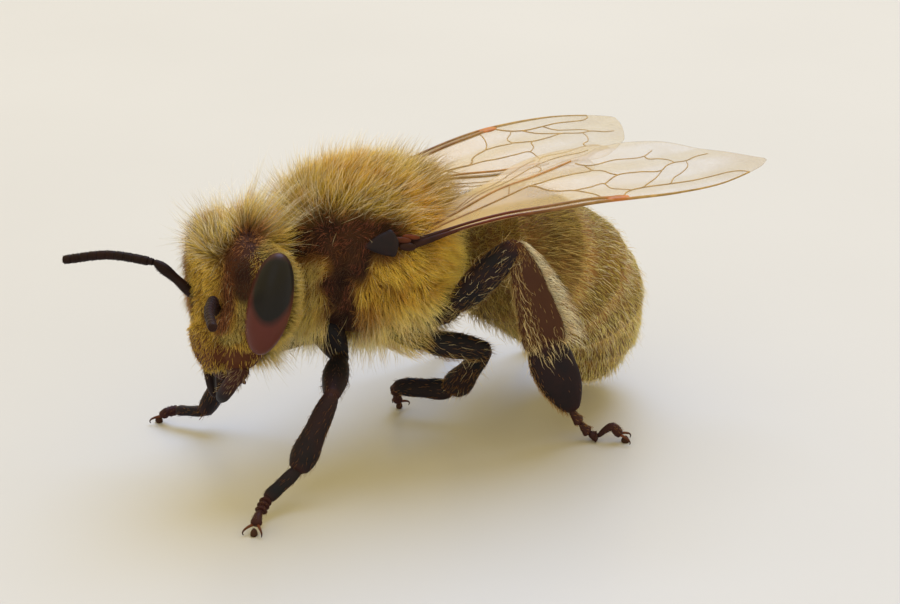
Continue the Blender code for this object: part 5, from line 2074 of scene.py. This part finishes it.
# ---------------------------------------------------------------- wings
@dataclass
class WingPair:
    """The forewing of one side with the hindwing hooked behind it, and their veins."""

    finishes: Finishes
    side: Side
    skin: float = 0.006  # half the thickness of the membrane
    sheet_columns: int = 44
    vein_step: float = 0.07
    hind_drop: float = 0.05  # how far the hindwing lies below the forewing
    ROOTS = {
        Side.LEFT: ((1.95, 0.75, 5.4), (3.72, 9.44, 6.44)),
        Side.RIGHT: ((-1.95, 0.75, 5.4), (-3.35, 9.3, 5.9)),
    }
    TILTS = {Side.LEFT: (15.0, 2.6), Side.RIGHT: (-6.0, 8.0)}  # degrees at the root, reach of the lift
    FRONT_EDGE = (
        (0.0, 0.02), (0.12, -0.04), (0.4, -0.09), (0.56, -0.1), (0.72, -0.11), (0.86, -0.07), (0.93, 0.05),
        (0.98, 0.24), (1.0, 0.42),
    )
    REAR_EDGE = (
        (0.0, 0.3), (0.05, 0.52), (0.14, 0.85), (0.28, 1.4), (0.42, 2.0), (0.53, 2.34), (0.57, 2.42),
        (0.64, 2.78), (0.7, 2.86), (0.78, 2.62), (0.86, 2.14), (0.92, 1.55), (0.965, 1.02), (1.0, 0.5),
    )
    LIFTS = {  # how far the front edge bows up along the length
        Side.LEFT: (
            (0.0, 0.0), (0.12, 0.16), (0.24, 0.22), (0.36, 0.17), (0.5, 0.1), (0.6, 0.0), (0.72, -0.11),
            (0.85, -0.14), (1.0, 0.0),
        ),
        Side.RIGHT: (
            (0.0, 0.0), (0.15, 0.22), (0.35, 0.44), (0.54, 0.51), (0.65, 0.45), (0.77, 0.34), (0.88, 0.19),
            (1.0, 0.02),
        ),
    }
    HIND_REAR = (
        (0.1, 0.26), (0.16, 0.42), (0.26, 0.56), (0.4, 0.72), (0.5, 0.75), (0.58, 0.62), (0.64, 0.36),
        (0.66, 0.12),
    )
    FORE_VEINS = {  # rows of (share of the length, millimetres behind the chord), with a half thickness
        "costa": (0.042, (
            (0.0, 0.06), (0.12, 0.0), (0.25, -0.03), (0.4, -0.07), (0.56, -0.08), (0.72, -0.09),
            (0.86, -0.05), (0.93, 0.07),
        )),
        "radius": (0.045, ((0.0, 0.14), (0.12, 0.13), (0.25, 0.13), (0.4, 0.1), (0.5, 0.08), (0.55, 0.02))),
        "marginal": (0.02, (
            (0.575, 0.05), (0.59, 0.22), (0.61, 0.33), (0.65, 0.42), (0.72, 0.42), (0.78, 0.38), (0.84, 0.4),
            (0.89, 0.38), (0.915, 0.26), (0.93, 0.09),
        )),
        "media": (0.034, ((0.0, 0.22), (0.1, 0.42), (0.2, 0.7), (0.3, 1.02), (0.365, 1.25))),
        "basal": (0.022, (
            (0.365, 1.25), (0.385, 1.16), (0.4, 1.0), (0.43, 0.86), (0.47, 0.78), (0.505, 0.42), (0.515, 0.12)
        )),
        "first_cell": (0.018, (
            (0.47, 0.78), (0.515, 0.82), (0.56, 0.88), (0.565, 0.66), (0.603, 0.4), (0.61, 0.33)
        )),
        "second_cell": (0.018, (
            (0.56, 0.88), (0.61, 1.16), (0.67, 1.17), (0.735, 1.12), (0.75, 1.24), (0.778, 1.35),
            (0.813, 1.34), (0.852, 1.5), (0.885, 1.53),
        )),
        "oblique": (0.018, ((0.645, 0.42), (0.67, 0.64), (0.706, 0.88), (0.735, 1.12))),
        "outer_cross": (0.016, ((0.723, 0.42), (0.751, 0.76), (0.777, 0.89), (0.808, 1.13), (0.813, 1.34))),
        "recurrent": (0.018, ((0.61, 1.16), (0.594, 1.26), (0.583, 1.46), (0.556, 1.6))),
        "cubitus": (0.02, (
            (0.365, 1.25), (0.402, 1.31), (0.453, 1.45), (0.51, 1.53), (0.556, 1.6), (0.553, 1.99)
        )),
        "lower": (0.017, ((0.534, 2.12), (0.553, 1.99), (0.643, 2.05), (0.726, 2.03), (0.757, 2.2))),
        "second_recurrent": (0.015, ((0.726, 2.03), (0.73, 1.86), (0.756, 1.78), (0.774, 1.6), (0.78, 1.38))),
        "anal": (0.04, (
            (0.0, 0.26), (0.06, 0.46), (0.14, 0.76), (0.29, 1.34), (0.36, 1.62), (0.434, 1.92), (0.526, 2.24)
        )),
        "anal_cross": (0.018, ((0.3, 1.02), (0.32, 1.45))),
    }
    HIND_VEINS = {
        "front": (0.03, ((0.1, 0.06), (0.25, 0.08), (0.42, 0.1), (0.55, 0.08))),
        "middle": (0.016, ((0.14, 0.12), (0.28, 0.3), (0.42, 0.42), (0.55, 0.4), (0.6, 0.34))),
        "rear": (0.014, ((0.14, 0.16), (0.24, 0.38), (0.34, 0.56), (0.44, 0.66))),
        "cross": (0.014, ((0.42, 0.1), (0.44, 0.26), (0.43, 0.42))),
    }
    FRONT_VEINS = ("costa", "radius")
    HINGES = (((2.0, 0.58, 5.46), 0.1, 0.0), ((1.95, 0.48, 5.62), 0.07, 0.5), ((1.92, 0.72, 5.64), 0.06, 0.9))
    SCALE = ((0.0, 0.02, 0.02), (0.2, 0.12, 0.06), (0.65, 0.27, 0.1), (0.88, 0.27, 0.08), (1.0, 0.06, 0.02))

    def __post_init__(self) -> None:
        """Works out the wing's own directions."""
        self.root, self.tip = (np.array(point) for point in self.ROOTS[self.side])
        self.length = float(np.linalg.norm(self.tip - self.root))
        self.along = (self.tip - self.root) / self.length
        inward = np.array([-self.side.value, 0.0, 0.0])
        self.chord = unit(inward - self.along * (inward @ self.along))
        up = np.cross(self.chord, self.along)
        self.up = up * np.sign(up[2])

    def place(self, share: Array, back: Array, rise: Array = 0.0) -> Array:
        """Points of the wing.

        Args:
            share: Shares of the length.
            back: Millimetres behind the chord from root to tip.
            rise: Millimetres above the wing.

        Returns:
            The points, one a row.
        """
        share, back = np.broadcast_arrays(np.asarray(share, float), np.asarray(back, float))
        tilt, fade = self.TILTS[self.side]
        turn = np.radians(tilt) * (1 - share)[:, None]  # the rear edge stands up
        flat = self.chord * np.cos(turn) + self.up * np.sin(turn)
        above = self.up * np.cos(turn) - self.chord * np.sin(turn)
        lift = curve(self.LIFTS[self.side], share)[:, 0] * np.clip(1 - back / fade, 0.0, 1.2)
        pleat = 0.035 * np.sin(back * 5.2 + 1.0) * ramp(share, 0.0, 0.15) * ramp(share, 1.0, 0.8)
        height = lift + pleat + rise
        middle = self.root + self.along * self.length * share[:, None]
        return middle + flat * back[:, None] + above * height[:, None]

    def sheet(self, shape: Shape, shares: Array, front: Array, rear: Array, drop: float) -> None:
        """A thin closed membrane between its front and rear edges.

        Args:
            shape: What it is added to.
            shares: Shares of the length, one for each row of points.
            front: The front edge there.
            rear: The rear edge there.
            drop: How far below the forewing's level it lies.
        """
        across = np.linspace(0.0, 1.0, self.sheet_columns)
        rings = []
        for share, start, end in zip(shares, front, rear):
            back = start + (end - start) * across
            top, bottom = (self.place(share, back, side * self.skin - drop) for side in (1, -1))
            rings.append(np.concatenate([top, bottom[::-1]]))
        shape.loft(rings, share=shares, warm=0.0)

    def veins(self, shape: Shape, table: dict, edge: Array | None, drop: float) -> None:
        """Tubes for the veins of one wing, joined where they meet.

        Args:
            shape: What they are added to.
            table: The veins by name.
            edge: The edge that the rows are measured from, or None for the chord.
            drop: How far below the forewing's level they lie.
        """
        for name, (half, rows) in table.items():
            rows = np.array(rows)
            gaps = np.hypot(np.diff(rows[:, 0]) * self.length, np.diff(rows[:, 1]))
            way = np.concatenate([[0.0], np.cumsum(gaps)])
            steps = np.linspace(0.0, way[-1], max(8, int(way[-1] / self.vein_step)))
            share, back = curve(np.column_stack([way, rows]), steps).T
            if edge is not None:
                back = back + curve(edge, share)[:, 0]
            radii = half * (1.0 - 0.3 * steps / way[-1])
            stain, pale = 0.0, 0.34 + 0.66 * share
            if name in self.FRONT_VEINS:
                radii = half * (1.0 + 0.9 * ramp(share, 0.13, 0.02) - 0.55 * ramp(share, 0.5, 0.9))
                stain, pale = groove(share - 0.555, 0.03), share
            elif name == "anal":
                stain = 0.45 * ramp(share, 0.15, 0.4)
            shape.tube(self.place(share, back, -drop), radii, self.up, 8, 1, share=pale, warm=stain)

    def stigma(self, shape: Shape) -> None:
        """The amber mark on the front edge, past the middle.

        Args:
            shape: What it is added to.
        """
        share = np.linspace(0.525, 0.585, 14)
        swell = np.sin(np.pi * (share - 0.52) / 0.07) ** 0.7
        path = self.place(share, 0.0)
        rings = swept(path, 0.11 * swell + 0.02, 0.035 * swell + 0.01, self.up, 14)
        shape.loft(rings, 1, share=share, warm=1.0)

    def hinge(self, shape: Shape) -> None:
        """The small hard plates between the wing's root and the body.

        Args:
            shape: What they are added to.
        """
        s = self.side.value
        turn = np.linspace(0.05, 0.95, 9) * np.pi
        for centre, half, lift in self.HINGES:
            centre = np.array(centre) * (s, 1, 1)
            path = centre - np.cos(turn)[:, None] * np.array([s * 0.05, 0.2, -0.04])
            wide = np.sin(turn) * half
            rings = swept(path, wide, wide * 0.7, LEFTWARD * s + UP * 0.3, 14)
            shape.loft(rings, 1, share=0.06 + 0.12 * lift, warm=0.08 * lift)

    def tegula(self) -> None:
        """The dark three-sided scale over the wing's root."""
        s = self.side.value
        share = np.linspace(0.0, 1.0, 24)
        start, end = np.array([s * 1.74, -0.36, 5.55]), np.array([s * 2.0, 0.36, 5.6])
        wide, thick = curve(self.SCALE, share).T
        out = unit(np.array([s, 0.0, 0.45]))
        rings = swept(start + (end - start) * share[:, None], wide, thick, out, 26, 2.3)
        shape = Shape()
        shape.loft(rings, marking=tinted(mixed(SHELL_BLACK, SHELL_RED, ramp(share, 0.12, 0.0))))
        word = self.side.word
        shape.made("wing_scale_" + word, self.finishes.leg, Slot.BROWN_SHELL, "tegula_" + word)

    def build(self) -> None:
        """Makes the pair of wings of one side, and the scale over their roots."""
        word, looks = self.side.word, [self.finishes.membrane, self.finishes.vein]
        fore = Shape()
        shares = np.concatenate([np.linspace(0.0, 0.97, 100), [0.98, 0.988, 0.994, 0.998]])
        front, rear = (curve(edge, shares)[:, 0] for edge in (self.FRONT_EDGE, self.REAR_EDGE))
        self.sheet(fore, shares, front, rear, 0.0)
        self.veins(fore, self.FORE_VEINS, None, 0.0)
        self.stigma(fore)
        self.hinge(fore)
        fore.made("forewing_blade_" + word, looks, Slot.WING, "forewing_" + word)
        hind = Shape()
        shares = np.linspace(0.1, 0.66, 60)
        front = curve(self.REAR_EDGE, shares)[:, 0] - 0.12
        self.sheet(hind, shares, front, front + 0.1 + curve(self.HIND_REAR, shares)[:, 0], self.hind_drop)
        self.veins(hind, self.HIND_VEINS, np.column_stack([shares, front]), self.hind_drop)
        hind.made("hindwing_blade_" + word, looks, Slot.WING, "hindwing_" + word)
        self.tegula()


# ---------------------------------------------------------------- studio
@dataclass
class Studio:
    """The pale floor, the soft light and the camera."""

    azimuth: float = 60.0  # degrees
    elevation: float = 21.0
    distance: float = 55.0
    lens: float = 91.2
    target: tuple[float, float, float] = (-0.55, 3.15, 2.8)
    aim: tuple[float, float, float] = (0.0, 2.0, 2.0)  # where the lamps look
    floor_reach: float = 900.0
    sky_color: Color = (1.0, 0.815, 0.39)
    sky_strength: float = 1.04
    lamp_color: Color = (0.38, 0.56, 1.0)
    LAMPS = (  # name, place, size, watts
        ("key", (-116.0, 128.0, 300.0), 300.0, 1.36),
        ("front", (180.0, -140.0, 140.0), 220.0, 0.08),
    )

    def floor(self) -> None:
        """A wide level ground whose top is at z = 0."""
        mesh = bpy.data.meshes.new("floor")
        made = bmesh.new()
        bmesh.ops.create_grid(made, x_segments=24, y_segments=24, size=self.floor_reach * MM)
        made.to_mesh(mesh)
        made.free()
        mesh.materials.append(PaleFloor("pale_floor").material())
        ground = bpy.data.objects.new("floor", mesh)
        bpy.context.scene.collection.objects.link(ground)

    def lights(self) -> None:
        """Even light from all round, and broad soft lights above and in front."""
        world = bpy.data.worlds.new("studio")
        world.use_nodes = True
        sky = world.node_tree.nodes["Background"]
        sky.inputs["Color"].default_value = (*self.sky_color, 1.0)
        sky.inputs["Strength"].default_value = self.sky_strength
        bpy.context.scene.world = world
        for name, place, size, watts in self.LAMPS:
            light = bpy.data.lights.new(name, "AREA")
            light.shape = "DISK"
            light.size = size * MM
            light.energy = watts
            light.color = self.lamp_color
            lamp = bpy.data.objects.new(name, light)
            lamp.location = Vector(place) * MM + Vector(ORIGIN)
            aim = Vector(self.aim) * MM + Vector(ORIGIN) - lamp.location
            lamp.rotation_euler = aim.to_track_quat("-Z", "Y").to_euler()
            bpy.context.scene.collection.objects.link(lamp)

    def camera(self) -> None:
        """The camera, left and ahead of the bee and a little above it."""
        a, e = np.radians(self.azimuth), np.radians(self.elevation)
        back = np.array([np.sin(a) * np.cos(e), -np.cos(a) * np.cos(e), np.sin(e)])
        data = bpy.data.cameras.new("camera")
        data.lens, data.sensor_width = self.lens, 36.0
        data.clip_start, data.clip_end = 1.0 * MM, 5000.0 * MM
        camera = bpy.data.objects.new("camera", data)
        camera.location = np.array(self.target) * MM + ORIGIN + back * self.distance * MM
        camera.rotation_euler = Vector(-back).to_track_quat("-Z", "Y").to_euler()
        bpy.context.scene.collection.objects.link(camera)
        bpy.context.scene.camera = camera

    def build(self) -> None:
        """Sets up the studio."""
        self.camera()
        self.floor()
        self.lights()
        bpy.context.scene.view_settings.view_transform = "Standard"


ORIGIN = bee_origin()


def main() -> None:
    """Builds the bee and its studio."""
    logging.basicConfig(level=logging.INFO, format="%(name)s %(message)s")
    Studio().build()
    finishes = Finishes()
    parts = [Head(finishes), Mouth(finishes), Trunk(finishes), Abdomen(finishes)]
    for side in Side:
        parts += [CompoundEye(finishes, side), Antenna(finishes, side), WingPair(finishes, side)]
        parts += [Leg(finishes, kind, side) for kind in BROAD_FACE]
    for part in parts:
        part.build()
    bpy.context.view_layer.update()


if __name__ == "__main__":
    main()
